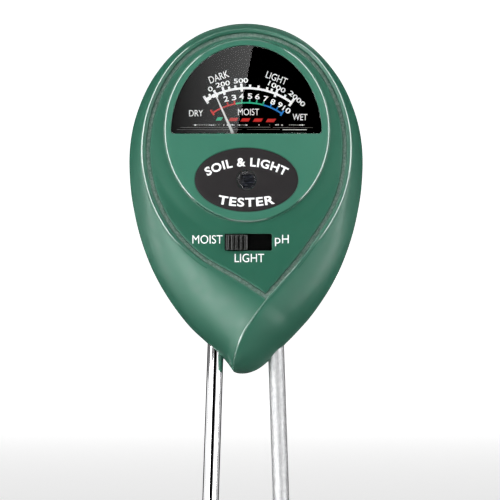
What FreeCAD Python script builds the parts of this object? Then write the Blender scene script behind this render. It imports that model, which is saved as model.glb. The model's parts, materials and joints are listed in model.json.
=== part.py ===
import FreeCAD, Part
import math
import os

# Soil moisture meter with a moving-coil movement, a photocell and two metal probes.
# Millimetres. +Z up, front faces -Y, +X to the right.
# Origin: midway between the two probe tips. The parting plane of the case is y = 0.

V = FreeCAD.Vector

# ---------------------------------------------------------------- driving dimensions
HEAD_TOP_Z = 290.0
WALL = 2.0
CREST_Y = -10.8            # top of the raised rim
PANEL_Y = -10.4            # teardrop panel
CHANNEL_Y = -9.7           # floor of the channel round the panel
PLATEAU_Y = -12.0          # raised oval plateau
CAVITY_Y = -8.4            # inside face of the front wall
POCKET_Y = -10.0           # inside face behind the plateau
REAR_Y = 21.8              # back of the rear cover
REAR_LIP = 0.35            # rear cover stands this far outside the front cover
CHANNEL_OUT = 1.0          # channel's outer wall, inward from the crest
CHANNEL_IN = 2.3           # channel's inner wall, inward from the crest

PLATEAU_C = (0.28, 260.17)
PLATEAU_A, PLATEAU_B = 23.0, 25.5
WINDOW_C = (0.08, 259.48)
WINDOW_A, WINDOW_B = 20.8, 24.31
LABEL_C = (0.14, 246.39)
LABEL_A, LABEL_B = 14.4, 8.87
SENSOR_R = 2.75

PIVOT_X, PIVOT_Z = 0.22, 250.70
REST_DEG = -24.2           # pointer's angle from vertical at rest, negative to the left
NEEDLE_LEN = 22.0

SLOT_X0, SLOT_X1 = -5.90, 7.21
SLOT_CZ, SLOT_H = 229.04, 4.7
KNOB_X0, KNOB_X1 = -5.65, 0.45
KNOB_H = 4.3
KNOB_TRAVEL = 6.5

PROBE_R = 2.3
PROBE_EXIT_R = 2.26        # clearance where the probes leave the case
PROBE_TOP_R = 2.0          # where the solder tag sits
PROBE_STEP_Z = 191.5       # full radius below this height, tapering above it
PROBE_LEAN = 1.9
PROBE_REF_X, PROBE_REF_Z = 8.4, 199.0
PROBE_POINT = 9.0
PROBE_TOP_Z = 224.0

CASE_SCREWS = [(-24.3, 268.0), (24.3, 268.0), (-15.5, 216.0), (15.5, 216.0)]
MOVEMENT_BOSSES = [(-15.0, 254.5), (15.0, 254.5)]
CLAMP_SCREWS = [(0.0, 210.5), (0.0, 217.5)]
SWITCH_SCREWS = [(-9.85, SLOT_CZ), (11.15, SLOT_CZ)]

# ---------------------------------------------------------------- outlines (X, Z)
# outline of the head at the parting plane, half widths down the sides, then the tip
HALF = [(289.83, 3.48), (288.7, 8.6), (287.6, 11.77), (285.38, 15.80), (283.15, 18.73), (280.92, 21.10),
        (278.69, 23.05), (276.47, 24.73), (274.24, 26.28), (269.78, 28.59), (265.33, 30.29),
        (260.87, 31.54), (256.42, 32.24), (251.96, 32.50), (247.50, 32.38), (243.05, 32.04),
        (238.59, 31.28), (234.13, 30.41), (229.68, 29.20), (225.22, 27.65), (220.77, 25.79),
        (216.31, 23.45), (211.86, 20.58), (207.40, 17.25), (202.95, 13.42)]
TIP = [(10.9, 200.75), (8.49, 198.4), (6.74, 196.5), (5.0, 194.75), (3.0, 193.3), (0.9, 192.5),
       (-1.4, 192.35), (-3.3, 193.1), (-5.0, 194.7), (-6.8, 196.9), (-8.91, 199.1), (-11.1, 201.2)]
OUTLINE = [(0.0, 290.0)] + [(w, z) for z, w in HALF] + TIP + [(-w, z) for z, w in reversed(HALF)]
# crest of the raised rim: a teardrop whose point lies right of the middle
CREST = [(0.2, 288.1), (4.0, 287.8), (8.0, 286.9), (12.0, 285.1), (16.2, 282.3), (19.3, 279.8), (21.9, 277.0),
         (23.8, 274.24), (25.3, 271.45), (26.4, 268.67), (27.35, 265.9), (28.05, 263.1), (28.5, 260.3),
         (28.75, 257.5), (28.85, 254.7), (28.68, 251.1), (28.25, 247.8), (27.25, 243.6), (26.25, 240.8),
         (25.1, 238.0), (23.7, 235.25), (22.2, 232.5), (20.4, 229.7), (18.45, 226.9), (16.4, 224.1),
         (14.3, 221.3), (11.6, 217.9), (8.9, 215.0), (6.6, 213.3),
         (4.4, 213.9), (0.6, 216.2), (-3.3, 218.7), (-7.4, 221.3), (-10.9, 222.6), (-14.0, 224.1), (-17.15, 226.9),
         (-19.65, 229.7), (-21.8, 232.5), (-23.65, 235.25), (-25.15, 238.0), (-26.4, 240.8), (-27.25, 243.6),
         (-28.15, 247.8), (-28.65, 251.1), (-28.75, 254.7), (-28.68, 257.5), (-28.35, 260.3), (-27.8, 263.1),
         (-27.05, 265.9), (-26.1, 268.67), (-24.85, 271.45), (-23.35, 274.24), (-21.5, 277.0), (-19.15, 279.8),
         (-16.1, 282.6), (-12.0, 285.1), (-8.0, 286.9), (-4.0, 287.8)]
# raised edge of the right lobe, where it overlaps the left lobe
OVERLAP = [(5.45, 213.0), (3.62, 210.7), (1.95, 208.4), (0.45, 206.2), (-0.58, 204.6), (-2.03, 201.8),
           (-3.0, 199.3), (-3.54, 197.1), (-3.9, 194.9)]

CX, CZ = 0.2, 250.0
NRAY = 60
SPANS = 6
RAYS = [2 * math.pi * i / NRAY for i in range(NRAY)]


def ray_hit(poly, a):
    """distance from the centre to a closed outline along one ray"""
    ux, uz = math.sin(a), math.cos(a)
    best = None
    n = len(poly)
    for i in range(n):
        x0, z0 = poly[i][0] - CX, poly[i][1] - CZ
        x1, z1 = poly[(i + 1) % n][0] - CX, poly[(i + 1) % n][1] - CZ
        dx, dz = x1 - x0, z1 - z0
        det = ux * dz - uz * dx
        if abs(det) < 1e-12:
            continue
        t = (x0 * dz - z0 * dx) / det
        s = (x0 * uz - z0 * ux) / det
        if t > 0 and -1e-9 <= s <= 1 + 1e-9:
            best = t if best is None else max(best, t)
    return best


def curve(points):
    c = Part.BSplineCurve()
    c.interpolate(Points=[V(x, 0, z) for x, z in points], PeriodicFlag=True)
    return c


def dense(points, n=360):
    c = curve(points)
    a, b = c.FirstParameter, c.LastParameter
    out = []
    for i in range(n):
        p = c.value(a + (b - a) * i / n)
        out.append((p.x, p.z))
    return out


OUT_D = dense(OUTLINE)
CREST_D = dense(CREST)


def dist(poly, x, z):
    best = 1e9
    n = len(poly)
    for i in range(n):
        x0, z0 = poly[i]
        x1, z1 = poly[(i + 1) % n]
        dx, dz = x1 - x0, z1 - z0
        t = ((x - x0) * dx + (z - z0) * dz) / (dx * dx + dz * dz)
        t = 0.0 if t < 0 else 1.0 if t > 1 else t
        d = (x - x0 - t * dx) ** 2 + (z - z0 - t * dz) ** 2
        if d < best:
            best = d
    return math.sqrt(best)


def radii(poly, d=0.0):
    """polar radii of an outline moved inwards by d"""
    out = []
    for a in RAYS:
        r = ray_hit(poly, a)
        if d > 0:
            lo, hi = 0.0, r
            for _ in range(22):
                m = (lo + hi) / 2
                if dist(poly, CX + m * math.sin(a), CZ + m * math.cos(a)) >= d:
                    lo = m
                else:
                    hi = m
            r = lo
        elif d < 0:
            r = r - d
        out.append(r)
    return out


def wire(rs, y):
    """closed smooth outline at one depth, in SPANS edges"""
    c = Part.BSplineCurve()
    c.interpolate(Points=[V(CX + r * math.sin(a), y, CZ + r * math.cos(a)) for r, a in zip(rs, RAYS)],
                  PeriodicFlag=True)
    knots = [c.parameter(V(CX + rs[i] * math.sin(RAYS[i]), y, CZ + rs[i] * math.cos(RAYS[i])))
             for i in range(0, NRAY, NRAY // SPANS)]
    knots[0] = c.FirstParameter
    knots.append(c.LastParameter)
    edges = []
    for a, b in zip(knots, knots[1:]):
        k = c.copy()
        k.segment(a, b)
        edges.append(k.toShape())
    return Part.Wire(edges)


def prism(rs, y0, y1):
    return Part.Face(wire(rs, y0)).extrude(V(0, y1 - y0, 0))


def loft(sections):
    return Part.makeLoft([wire(rs, y) for rs, y in sections], True, False)


def mix(ro, rc, s):
    return [a + (b - a) * s for a, b in zip(ro, rc)]


def cyl_y(x, z, r, y0, y1):
    return Part.makeCylinder(r, y1 - y0, V(x, y0, z), V(0, 1, 0))


def box(x0, x1, y0, y1, z0, z1):
    return Part.makeBox(x1 - x0, y1 - y0, z1 - z0, V(x0, y0, z0))


def ellipse_face(cx, cz, a, b, y):
    # major axis first
    if a >= b:
        e = Part.Ellipse(V(cx + a, y, cz), V(cx, y, cz + b), V(cx, y, cz))
    else:
        e = Part.Ellipse(V(cx, y, cz + b), V(cx - a, y, cz), V(cx, y, cz))
    return Part.Face(Part.Wire([e.toShape()]))


def ellipse_prism(c, a, b, y0, y1):
    return ellipse_face(c[0], c[1], a, b, y0).extrude(V(0, y1 - y0, 0))


def half_oval(c, a, b, y0, y1, drop=0.0):
    full = ellipse_prism(c, a, b, y0, y1)
    top = full.common(box(c[0] - a - 1, c[0] + a + 1, y0, y1, c[1], c[1] + b + 1))
    if drop > 0:
        top = top.fuse(box(c[0] - a, c[0] + a, y0, y1, c[1] - drop, c[1])).removeSplitter()
    return top


def one(shape):
    s = shape.removeSplitter()
    return s.Solids[0] if len(s.Solids) == 1 else s


NODES = {}


def node(name, shape):
    NODES[name] = shape


def group(*shapes):
    return Part.makeCompound(list(shapes))


# ---------------------------------------------------------------- probes' axes
def probe_axis(side):
    a = math.radians(PROBE_LEAN)
    d = V(side * math.sin(a), 0, -math.cos(a))          # pointing down and outwards
    ref = V(side * PROBE_REF_X, 0, PROBE_REF_Z)
    top = ref + d * ((PROBE_REF_Z - PROBE_TOP_Z) / math.cos(a))
    tip = ref + d * ((PROBE_REF_Z - 0.02) / math.cos(a))
    return top, tip, d


def probe_bar(side, r, extra=0.0):
    top, tip, d = probe_axis(side)
    start = top - d * extra
    return Part.makeCylinder(r, (tip - start).Length, start, d)


def probe_shank(side, grow=0.0, extra=0.0):
    """tapered upper end of a probe, from its top down to its full radius"""
    top, tip, d = probe_axis(side)
    step = (PROBE_TOP_Z - PROBE_STEP_Z) / math.cos(math.radians(PROBE_LEAN))
    s = Part.makeCylinder(PROBE_TOP_R + grow, 4.0 + extra, top - d * extra, d)
    return s.fuse(Part.makeCone(PROBE_TOP_R + grow, PROBE_R + grow, step - 4.0, top + d * 4.0, d))


# ---------------------------------------------------------------- case
R_OUT = radii(OUT_D)
R_OUT_IN = radii(OUT_D, WALL)
R_CREST = radii(CREST_D)
R_CH_OUT = radii(CREST_D, CHANNEL_OUT)
R_CH_IN = radii(CREST_D, CHANNEL_IN)
R_CREST_IN = radii(CREST_D, 0.6)

STEPS = [(0.0, 0.0), (0.0, -3.0), (0.035, -5.6), (0.13, -7.7), (0.32, -9.3), (0.62, -10.35), (1.0, CREST_Y)]
outer = loft([(mix(R_OUT, R_CREST, s), y) for s, y in STEPS])
lobe_gap = [max(0.0, a - b) for a, b in zip(R_OUT_IN, R_CREST_IN)]
inner_sections = [(0.0, 0.0), (0.0, -2.4), (0.035, -4.4), (0.13, -6.0), (0.32, -7.2), (0.62, -8.0), (1.0, CAVITY_Y)]
cavity = loft([([a - g * s for a, g in zip(R_OUT_IN, lobe_gap)], y) for s, y in inner_sections])

front = outer.cut(prism(R_CH_OUT, PANEL_Y, PLATEAU_Y - 1))
ring = prism(R_CH_OUT, CHANNEL_Y, PANEL_Y - 0.5).cut(prism(R_CH_IN, CHANNEL_Y + 1, PANEL_Y - 1))
front = front.cut(ring)
plateau = ellipse_prism(PLATEAU_C, PLATEAU_A, PLATEAU_B, PLATEAU_Y, PANEL_Y + 0.4)
edges = [e for e in plateau.Edges if abs(e.BoundBox.YMax - PLATEAU_Y) < 1e-3]
plateau = plateau.makeFillet(0.8, edges)
front = front.fuse(plateau)
# groove along the right lobe's raised edge, 0.6 deep under the lobe's own surface
pts = [V(x, 0, z) for x, z in OVERLAP]
sp = Part.BSplineCurve()
sp.interpolate(Points=pts)
left = [V(p.x - 0.75, 0, p.z - 0.25) for p in pts]
sl = Part.BSplineCurve()
sl.interpolate(Points=left)
ribbon_wire = Part.Wire([sp.toShape(), Part.LineSegment(pts[-1], left[-1]).toShape(), sl.toShape(),
                         Part.LineSegment(left[0], pts[0]).toShape()])
ribbon = Part.Face(ribbon_wire).extrude(V(0, PLATEAU_Y - 1, 0))
groove = ribbon.cut(outer.translated(V(0, 0.6, 0)))
groove = groove.common(box(-20, 20, PLATEAU_Y - 1, -2.0, 190, 214))
front = front.cut(groove)
front = front.cut(cavity)
front = front.cut(ellipse_prism(PLATEAU_C, 22.2, 24.7, POCKET_Y, CAVITY_Y + 0.5))

# bosses and ribs inside the front cover
inside = []
for x, z in CASE_SCREWS:
    inside.append(cyl_y(x, z, 2.5, CAVITY_Y - 0.4, -0.05))
for x, z in CLAMP_SCREWS:
    inside.append(cyl_y(x, z, 2.3, CAVITY_Y - 0.4, -0.05))
for z in (208.5, 219.5):
    rib = box(-12, 12, CAVITY_Y - 0.4, -0.05, z - 0.8, z + 0.8)
    inside.append(rib)
add = inside[0]
for b in inside[1:]:
    add = add.fuse(b)
add = add.common(outer)
for s in (-1, 1):
    add = add.cut(probe_shank(s, 0.03, 3.0))
front = front.fuse(add)
for x, z in MOVEMENT_BOSSES:
    front = front.fuse(cyl_y(x, z, 2.2, POCKET_Y - 0.3, -6.6))
for x, z in CASE_SCREWS:
    front = front.cut(cyl_y(x, z, 1.2, -7.2, 1.0))
for x, z in CLAMP_SCREWS:
    front = front.cut(cyl_y(x, z, 1.05, -6.6, 1.0))
for x, z in MOVEMENT_BOSSES:
    front = front.cut(cyl_y(x, z, 0.85, -9.6, -6.0))
for x, z in SWITCH_SCREWS:
    front = front.cut(cyl_y(x, z, 0.75, CAVITY_Y - 1.3, CAVITY_Y + 1.0))
# openings in the front
front = front.cut(half_oval(WINDOW_C, WINDOW_A, WINDOW_B, PLATEAU_Y - 1, CAVITY_Y + 1))
front = front.cut(ellipse_prism(LABEL_C, LABEL_A + 0.05, LABEL_B + 0.05, PLATEAU_Y - 1, PLATEAU_Y + 0.4))
front = front.cut(cyl_y(LABEL_C[0], LABEL_C[1], SENSOR_R, PLATEAU_Y - 1, CAVITY_Y + 1))
front = front.cut(box(SLOT_X0, SLOT_X1, PLATEAU_Y - 1, CAVITY_Y + 1, SLOT_CZ - SLOT_H / 2, SLOT_CZ + SLOT_H / 2))
for s in (-1, 1):
    front = front.cut(probe_bar(s, PROBE_EXIT_R + 0.02, 1.0))
node("front_cover", front.Solids[0])

# rear cover
DOME = [(1.0, 0.0), (0.996, 4.5), (0.982, 9.5), (0.94, 14.2), (0.85, 18.0), (0.69, 20.7), (0.47, REAR_Y)]
R_REAR = radii(OUT_D, -REAR_LIP)
rear_outer = loft([([r * f for r in R_REAR], y) for f, y in DOME])
rear_cav = loft([([r * f for r in R_OUT_IN], y * (REAR_Y - WALL) / REAR_Y) for f, y in DOME])
rear = rear_outer.cut(rear_cav)
R_T0, R_T1, R_TF = radii(OUT_D, WALL + 0.06), radii(OUT_D, WALL + 1.0), radii(OUT_D, WALL - 0.4)
tongue = prism(R_T0, -1.4, 0.6).cut(prism(R_T1, -2.0, 2.0))
land = prism(R_TF, 0.0, 2.0).cut(prism(R_T1, -1.0, 3.0)).common(rear_outer)
rear = rear.fuse(land).fuse(tongue)
for x, z in CASE_SCREWS:
    rear = rear.cut(cyl_y(x, z, 2.9, -2.0, 0.0))
cols = None
for x, z in CASE_SCREWS:
    c = cyl_y(x, z, 3.4, 0.05, 22.0).common(rear_outer)
    cols = c if cols is None else cols.fuse(c)
rear = rear.fuse(cols)
for x, z in CASE_SCREWS:
    rear = rear.cut(cyl_y(x, z, 2.3, 6.0, 24.0)).cut(cyl_y(x, z, 1.25, -1.0, 7.0))
for s in (-1, 1):
    cutter = probe_bar(s, PROBE_EXIT_R + 0.02, 1.0)
    rear = rear.cut(cutter)
node("rear_cover", rear.Solids[0])

# ---------------------------------------------------------------- window, label, sensor
lens = half_oval(WINDOW_C, WINDOW_A - 0.05, WINDOW_B - 0.05, -11.7, POCKET_Y)
lens_boss = lens.translated(V(0, 0, 0.05))
flange = half_oval(WINDOW_C, 21.6, 25.1, POCKET_Y, -8.9, drop=1.1)
node("window_lens", one(lens_boss.fuse(flange)))

label = ellipse_prism(LABEL_C, LABEL_A, LABEL_B, -11.95, -11.6).cut(
    cyl_y(LABEL_C[0], LABEL_C[1], SENSOR_R, -13, -11))
node("label_plate", label)

sx, sz = LABEL_C
dome = Part.makeSphere(5.0, V(sx, -11.9 + 5.0, sz)).common(cyl_y(sx, sz, 2.7, -12.0, -10.9))
node("sensor_lens", one(dome))
holder = cyl_y(sx, sz, 2.6, -10.9, -9.3)
holder = holder.cut(box(sx - 1.4, sx + 2.66, -11.0, -10.4, sz - 2.1, sz + 1.45))
for dx in (-1.27, 1.27):
    holder = holder.cut(cyl_y(sx + dx, sz - 0.6, 0.27, -10.5, -9.0))
node("photocell_holder", one(holder))
cell = box(sx - 1.36, sx + 2.6, -10.85, -10.4, sz - 2.05, sz + 1.4).common(cyl_y(sx, sz, 2.55, -11, -10))
leads = []
for dx in (-1.27, 1.27):
    up = cyl_y(sx + dx, sz - 0.6, 0.22, -10.4, -9.05)
    down = Part.makeCylinder(0.22, 6.2, V(sx + dx, -9.05, sz - 0.6 - 6.0), V(0, 0, 1))
    leads.append(up.fuse(down))
cell = cell.fuse(leads[0]).fuse(leads[1])
node("photocell", one(cell))

# ---------------------------------------------------------------- movement
px, pz = PIVOT_X, PIVOT_Z
dial = half_oval(WINDOW_C, 22.4, 26.0, -6.6, -6.0, drop=6.4)
dial = dial.fuse(box(-9.0, 9.4, -6.6, -6.0, 244.5, 254.0)).removeSplitter()
dial = dial.cut(cyl_y(px, pz, 2.2, -7, -5))
for x, z in MOVEMENT_BOSSES:
    dial = dial.cut(cyl_y(x, z, 0.9, -7, -5))
stop_angles = (-39.9, 41.5)
stops = []
for a in stop_angles:
    x = px + 8.6 * math.sin(math.radians(a))
    z = pz + 8.6 * math.cos(math.radians(a))
    dial = dial.cut(cyl_y(x, z, 0.35, -7, -5))
    stops.append(cyl_y(x, z, 0.35, -8.1, -6.0))
node("dial_plate", one(dial))
node("pointer_stops", group(*stops))

frame = cyl_y(px, pz, 11.5, -6.0, 9.0).cut(cyl_y(px, pz, 10.25, -4.9, 10.0)).cut(cyl_y(px, pz, 8.2, -7, -4))
frame = frame.fuse(box(-17.6, 17.6, -6.0, -4.9, 251.5, 257.5).cut(cyl_y(px, pz, 10.8, -7, -4)))
for a in (90, 270):
    lug = box(px + 10.9, px + 13.6, 6.0, 9.0, pz - 2.2, pz + 2.2)
    frame = frame.fuse(lug.rotated(V(px, 0, pz), V(0, 1, 0), a - 90))
for x, z in MOVEMENT_BOSSES:
    frame = frame.cut(cyl_y(x, z, 0.9, -7, -4))
for s in (-1, 1):
    frame = frame.cut(box(px + s * 11.65 - 0.62, px + s * 11.65 + 0.62, -6.5, -4.4, pz - 1.65, pz + 1.65))
    frame = frame.cut(cyl_y(px + s * 12.4, pz, 0.6, 5.0, 9.5))
node("movement_frame", one(frame))
yoke = cyl_y(px, pz, 10.2, -4.0, 6.0).cut(cyl_y(px, pz, 7.9, -5, 7))
node("yoke_ring", yoke)
core = cyl_y(px, pz, 5.2, -3.3, 5.3)
node("core_magnet", core)
sup = []
for s in (-1, 1):
    blk = box(px - 1.0, px + 1.0, -2.6, 4.6, pz + 4.0, pz + 8.6).cut(cyl_y(px, pz, 5.2, -4, 6))
    blk = blk.common(cyl_y(px, pz, 7.9, -4, 6))
    sup.append(blk if s > 0 else blk.mirror(V(px, 0, pz), V(0, 0, 1)))
node("core_supports", group(*sup))

bridge = box(px - 12.2, px + 12.2, -9.7, -8.9, pz - 1.6, pz + 1.6)
for s in (-1, 1):
    bridge = bridge.fuse(box(px + s * 11.65 - 0.55, px + s * 11.65 + 0.55, -8.95, -4.6, pz - 1.6, pz + 1.6))
bridge = bridge.cut(cyl_y(px, pz, 1.1, -10, -8))
node("front_bridge", one(bridge))
rb = box(px - 13.6, px + 13.6, 9.0, 10.0, pz - 2.2, pz + 2.2)
rb = rb.cut(cyl_y(px, pz, 1.1, 8, 11))
for s in (-1, 1):
    rb = rb.cut(cyl_y(px + s * 12.4, pz, 0.65, 8, 11))
node("rear_bridge", rb)


def screw(x, z, y_seat, y_end, r, head_r, head_h, slot=0.35):
    """pan-head screw driven from the back, its head on the +Y side"""
    s = cyl_y(x, z, r, y_end, y_seat).fuse(cyl_y(x, z, head_r, y_seat, y_seat + head_h))
    c = box(x - head_r * 0.6, x + head_r * 0.6, y_seat + head_h * 0.5, y_seat + head_h + 1, z - slot / 2, z + slot / 2)
    c = c.fuse(box(x - slot / 2, x + slot / 2, y_seat + head_h * 0.5, y_seat + head_h + 1, z - head_r * 0.6, z + head_r * 0.6))
    return one(s.cut(c))


node("bridge_screws", group(*[screw(px + s * 12.4, pz, 10.0, 6.0, 0.55, 1.1, 0.7) for s in (-1, 1)]))
jf = cyl_y(px, pz, 1.1, -9.9, -8.6).cut(cyl_y(px, pz, 0.40, -9.2, -8.0))
node("front_jewel_screw", jf)
jr = cyl_y(px, pz, 1.1, 8.7, 10.8).cut(cyl_y(px, pz, 0.40, 8.0, 9.9))
node("rear_jewel_screw", jr)

REST = (V(px, 0, pz), V(0, 1, 0), REST_DEG)


def posed(s):
    return s.rotated(*REST)


former = box(px - 6.25, px + 6.25, -4.45, 6.45, pz - 1.4, pz + 1.4).cut(
    box(px - 5.9, px + 5.9, -4.1, 6.1, pz - 2, pz + 2))
node("coil_former", posed(former))
wind = box(px - 7.15, px + 7.15, -5.35, 7.35, pz - 1.15, pz + 1.15)
wind = wind.makeFillet(0.8, [e for e in wind.Edges if abs(e.BoundBox.ZMax - e.BoundBox.ZMin) > 2])
wind = wind.cut(box(px - 6.25, px + 6.25, -4.45, 6.45, pz - 2, pz + 2))
node("coil_winding", posed(one(wind)))
fp = cyl_y(px, pz, 0.55, -7.9, -5.65).fuse(cyl_y(px, pz, 1.1, -5.65, -5.35)).fuse(cyl_y(px, pz, 0.35, -9.05, -7.9))
node("front_pivot", one(fp))
rp = cyl_y(px, pz, 1.1, 7.35, 7.65).fuse(cyl_y(px, pz, 0.35, 7.65, 9.75))
node("rear_pivot", one(rp))
hub = cyl_y(px, pz, 1.35, -7.85, -7.35)
blade_w = Part.makePolygon([V(px - 0.5, -7.75, pz), V(px - 0.42, -7.75, pz + 8), V(px - 0.15, -7.75, pz + NEEDLE_LEN),
                            V(px + 0.15, -7.75, pz + NEEDLE_LEN), V(px + 0.42, -7.75, pz + 8), V(px + 0.5, -7.75, pz),
                            V(px - 0.5, -7.75, pz)])
blade = Part.Face(blade_w).extrude(V(0, 0.3, 0))
tail = box(px - 0.45, px + 0.45, -7.75, -7.45, pz - 3.0, pz)
arms = box(px - 3.0, px + 3.0, -7.75, -7.45, pz - 0.4, pz + 0.4)
needle = hub.fuse(blade).fuse(tail).fuse(arms).cut(cyl_y(px, pz, 0.55, -8, -7))
node("pointer_needle", posed(one(needle)))
cw = [cyl_y(px, pz - 2.45, 0.6, -7.45, -6.75)]
for s in (-1, 1):
    cw.append(cyl_y(px + s * 2.4, pz, 0.55, -8.15, -7.75))
node("pointer_counterweights", posed(group(*cw)))


def spiral(y0, y1, r0, r1, turns, w, tail_to, phase):
    """flat spiral strip, open at its outer end, with a short tab that fixes it"""
    n = 40
    a = []
    b = []
    for i in range(n + 1):
        t = i / n
        ang = phase + 2 * math.pi * turns * t
        r = r0 + (r1 - r0) * t
        a.append(V(px + (r - w / 2) * math.sin(ang), y0, pz + (r - w / 2) * math.cos(ang)))
        b.append(V(px + (r + w / 2) * math.sin(ang), y0, pz + (r + w / 2) * math.cos(ang)))
    ca, cb = Part.BSplineCurve(), Part.BSplineCurve()
    ca.interpolate(Points=a)
    cb.interpolate(Points=b)
    f = Part.Face(Part.Wire([ca.toShape(), Part.LineSegment(a[-1], b[-1]).toShape(), cb.toShape(),
                             Part.LineSegment(b[0], a[0]).toShape()]))
    s = f.extrude(V(0, y1 - y0, 0))
    e = (a[-1] + b[-1]) * 0.5
    tab = box(e.x - 0.3, e.x + 0.3, min(y0, tail_to), max(y1, tail_to), e.z - 0.3, e.z + 0.3)
    return one(s.fuse(tab))


node("front_hairspring", spiral(-8.5, -8.25, 0.85, 2.6, 2.75, 0.12, -8.9, 0.0))
node("rear_hairspring", spiral(7.95, 8.2, 0.85, 3.0, 3.25, 0.12, 9.0, math.pi / 2 - 2 * math.pi * 0.25))
node("movement_screws", group(*[screw(x, z, -4.9, -9.3, 0.8, 1.7, 1.1) for x, z in MOVEMENT_BOSSES]))

# ---------------------------------------------------------------- slide switch
kx = (SLOT_X0 + SLOT_X1) / 2
bracket = box(kx - 12.2, kx + 12.2, CAVITY_Y, -7.8, SLOT_CZ - 4.0, SLOT_CZ + 4.0)
bracket = bracket.cut(box(SLOT_X0 - 0.3, SLOT_X1 + 0.3, -9, -7, SLOT_CZ - 2.2, SLOT_CZ + 2.2))
for x, z in SWITCH_SCREWS:
    bracket = bracket.cut(cyl_y(x, z, 0.75, -9, -7))
node("switch_bracket", one(bracket))
node("switch_screws", group(*[screw(x, z, -7.8, -9.6, 0.7, 1.15, 0.8) for x, z in SWITCH_SCREWS]))
body = box(kx - 9.0, kx + 9.0, -7.8, -4.4, SLOT_CZ - 3.8, SLOT_CZ + 3.8)
body = body.cut(box(kx - 8.3, kx + 8.3, -8, -4, SLOT_CZ - 2.9, SLOT_CZ + 2.9))
node("switch_body", one(body))
base = box(kx - 9.0, kx + 9.0, -4.4, -3.4, SLOT_CZ - 3.8, SLOT_CZ + 3.8)
PADS = [kx - 5.6, kx - 1.9, kx + 1.8, kx + 5.5]
for x in PADS:
    for dz in (-1.5, 1.5):
        base = base.cut(box(x - 0.3, x + 0.3, -5, -3, SLOT_CZ + dz - 0.2, SLOT_CZ + dz + 0.2))
node("switch_base", one(base))
node("switch_contacts", group(*[box(x - 1.3, x + 1.3, -4.55, -4.4, SLOT_CZ + dz - 0.8, SLOT_CZ + dz + 0.8)
                                for x in PADS for dz in (-1.5, 1.5)]))
node("switch_terminals", group(*[box(x - 0.3, x + 0.3, -4.4, -1.6, SLOT_CZ + dz - 0.2, SLOT_CZ + dz + 0.2)
                                 for x in PADS for dz in (-1.5, 1.5)]))
kc = (KNOB_X0 + KNOB_X1) / 2
knob = box(KNOB_X0, KNOB_X1, -11.55, -8.75, SLOT_CZ - KNOB_H / 2, SLOT_CZ + KNOB_H / 2)
for i in range(5):
    x = kc + (i - 2) * 1.22
    knob = knob.fuse(box(x - 0.36, x + 0.36, -12.0, -11.4, SLOT_CZ - KNOB_H / 2, SLOT_CZ + KNOB_H / 2))
knob = knob.fuse(box(kc - 2.4, kc + 2.4, -8.8, -7.4, SLOT_CZ - 1.5, SLOT_CZ + 1.5))
node("switch_knob", one(knob))
car = box(kc - 4.3, kc + 4.3, -7.4, -5.6, SLOT_CZ - 2.6, SLOT_CZ + 2.6)
car = car.cut(Part.makeCylinder(0.75, 3.0, V(kc, -6.5, SLOT_CZ + 0.1), V(0, 0, 1)))
node("slider_carriage", one(car))
wiper = None
for dz in (-1.5, 1.5):
    w = box(kc - 3.4, kc + 3.4, -5.6, -5.35, SLOT_CZ + dz - 0.5, SLOT_CZ + dz + 0.5)
    for s in (-1, 1):
        w = w.fuse(box(kc + s * 2.9 - 0.5, kc + s * 2.9 + 0.5, -5.4, -4.65, SLOT_CZ + dz - 0.5, SLOT_CZ + dz + 0.5))
    wiper = w if wiper is None else wiper.fuse(w)
wiper = wiper.fuse(box(kc - 0.8, kc + 0.8, -5.6, -5.35, SLOT_CZ - 1.6, SLOT_CZ + 1.6))
node("wiper_contact", one(wiper))
spring = None
for i in range(4):
    t = Part.makeTorus(0.55, 0.1, V(kc, -6.5, SLOT_CZ + 0.25 + i * 0.38), V(0, 0, 1))
    spring = t if spring is None else spring.fuse(t)
post = Part.makeCylinder(0.12, 1.2, V(kc + 0.55, -6.5, SLOT_CZ + 0.2), V(0, 0, 1))
spring = spring.fuse(post)
node("detent_spring", one(spring))
node("detent_ball", Part.makeSphere(0.7, V(kc, -6.5, SLOT_CZ + 2.15)))

# ---------------------------------------------------------------- probes
for side, name in ((-1, "probe_left"), (1, "probe_right")):
    top, tip, d = probe_axis(side)
    L = (tip - top).Length
    step = (PROBE_TOP_Z - PROBE_STEP_Z) / math.cos(math.radians(PROBE_LEAN))
    p = probe_shank(side)
    p = p.fuse(Part.makeCylinder(PROBE_R, L - step - PROBE_POINT, top + d * step, d))
    p = p.fuse(Part.makeCone(PROBE_R, 0.35, PROBE_POINT, top + d * (L - PROBE_POINT), d))
    print(name, "exposed shaft length", L - step - PROBE_POINT)
    p = p.cut(Part.makeCylinder(0.8, 4.0, top - d * 0.5, d))
    node(name, one(p))

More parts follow.
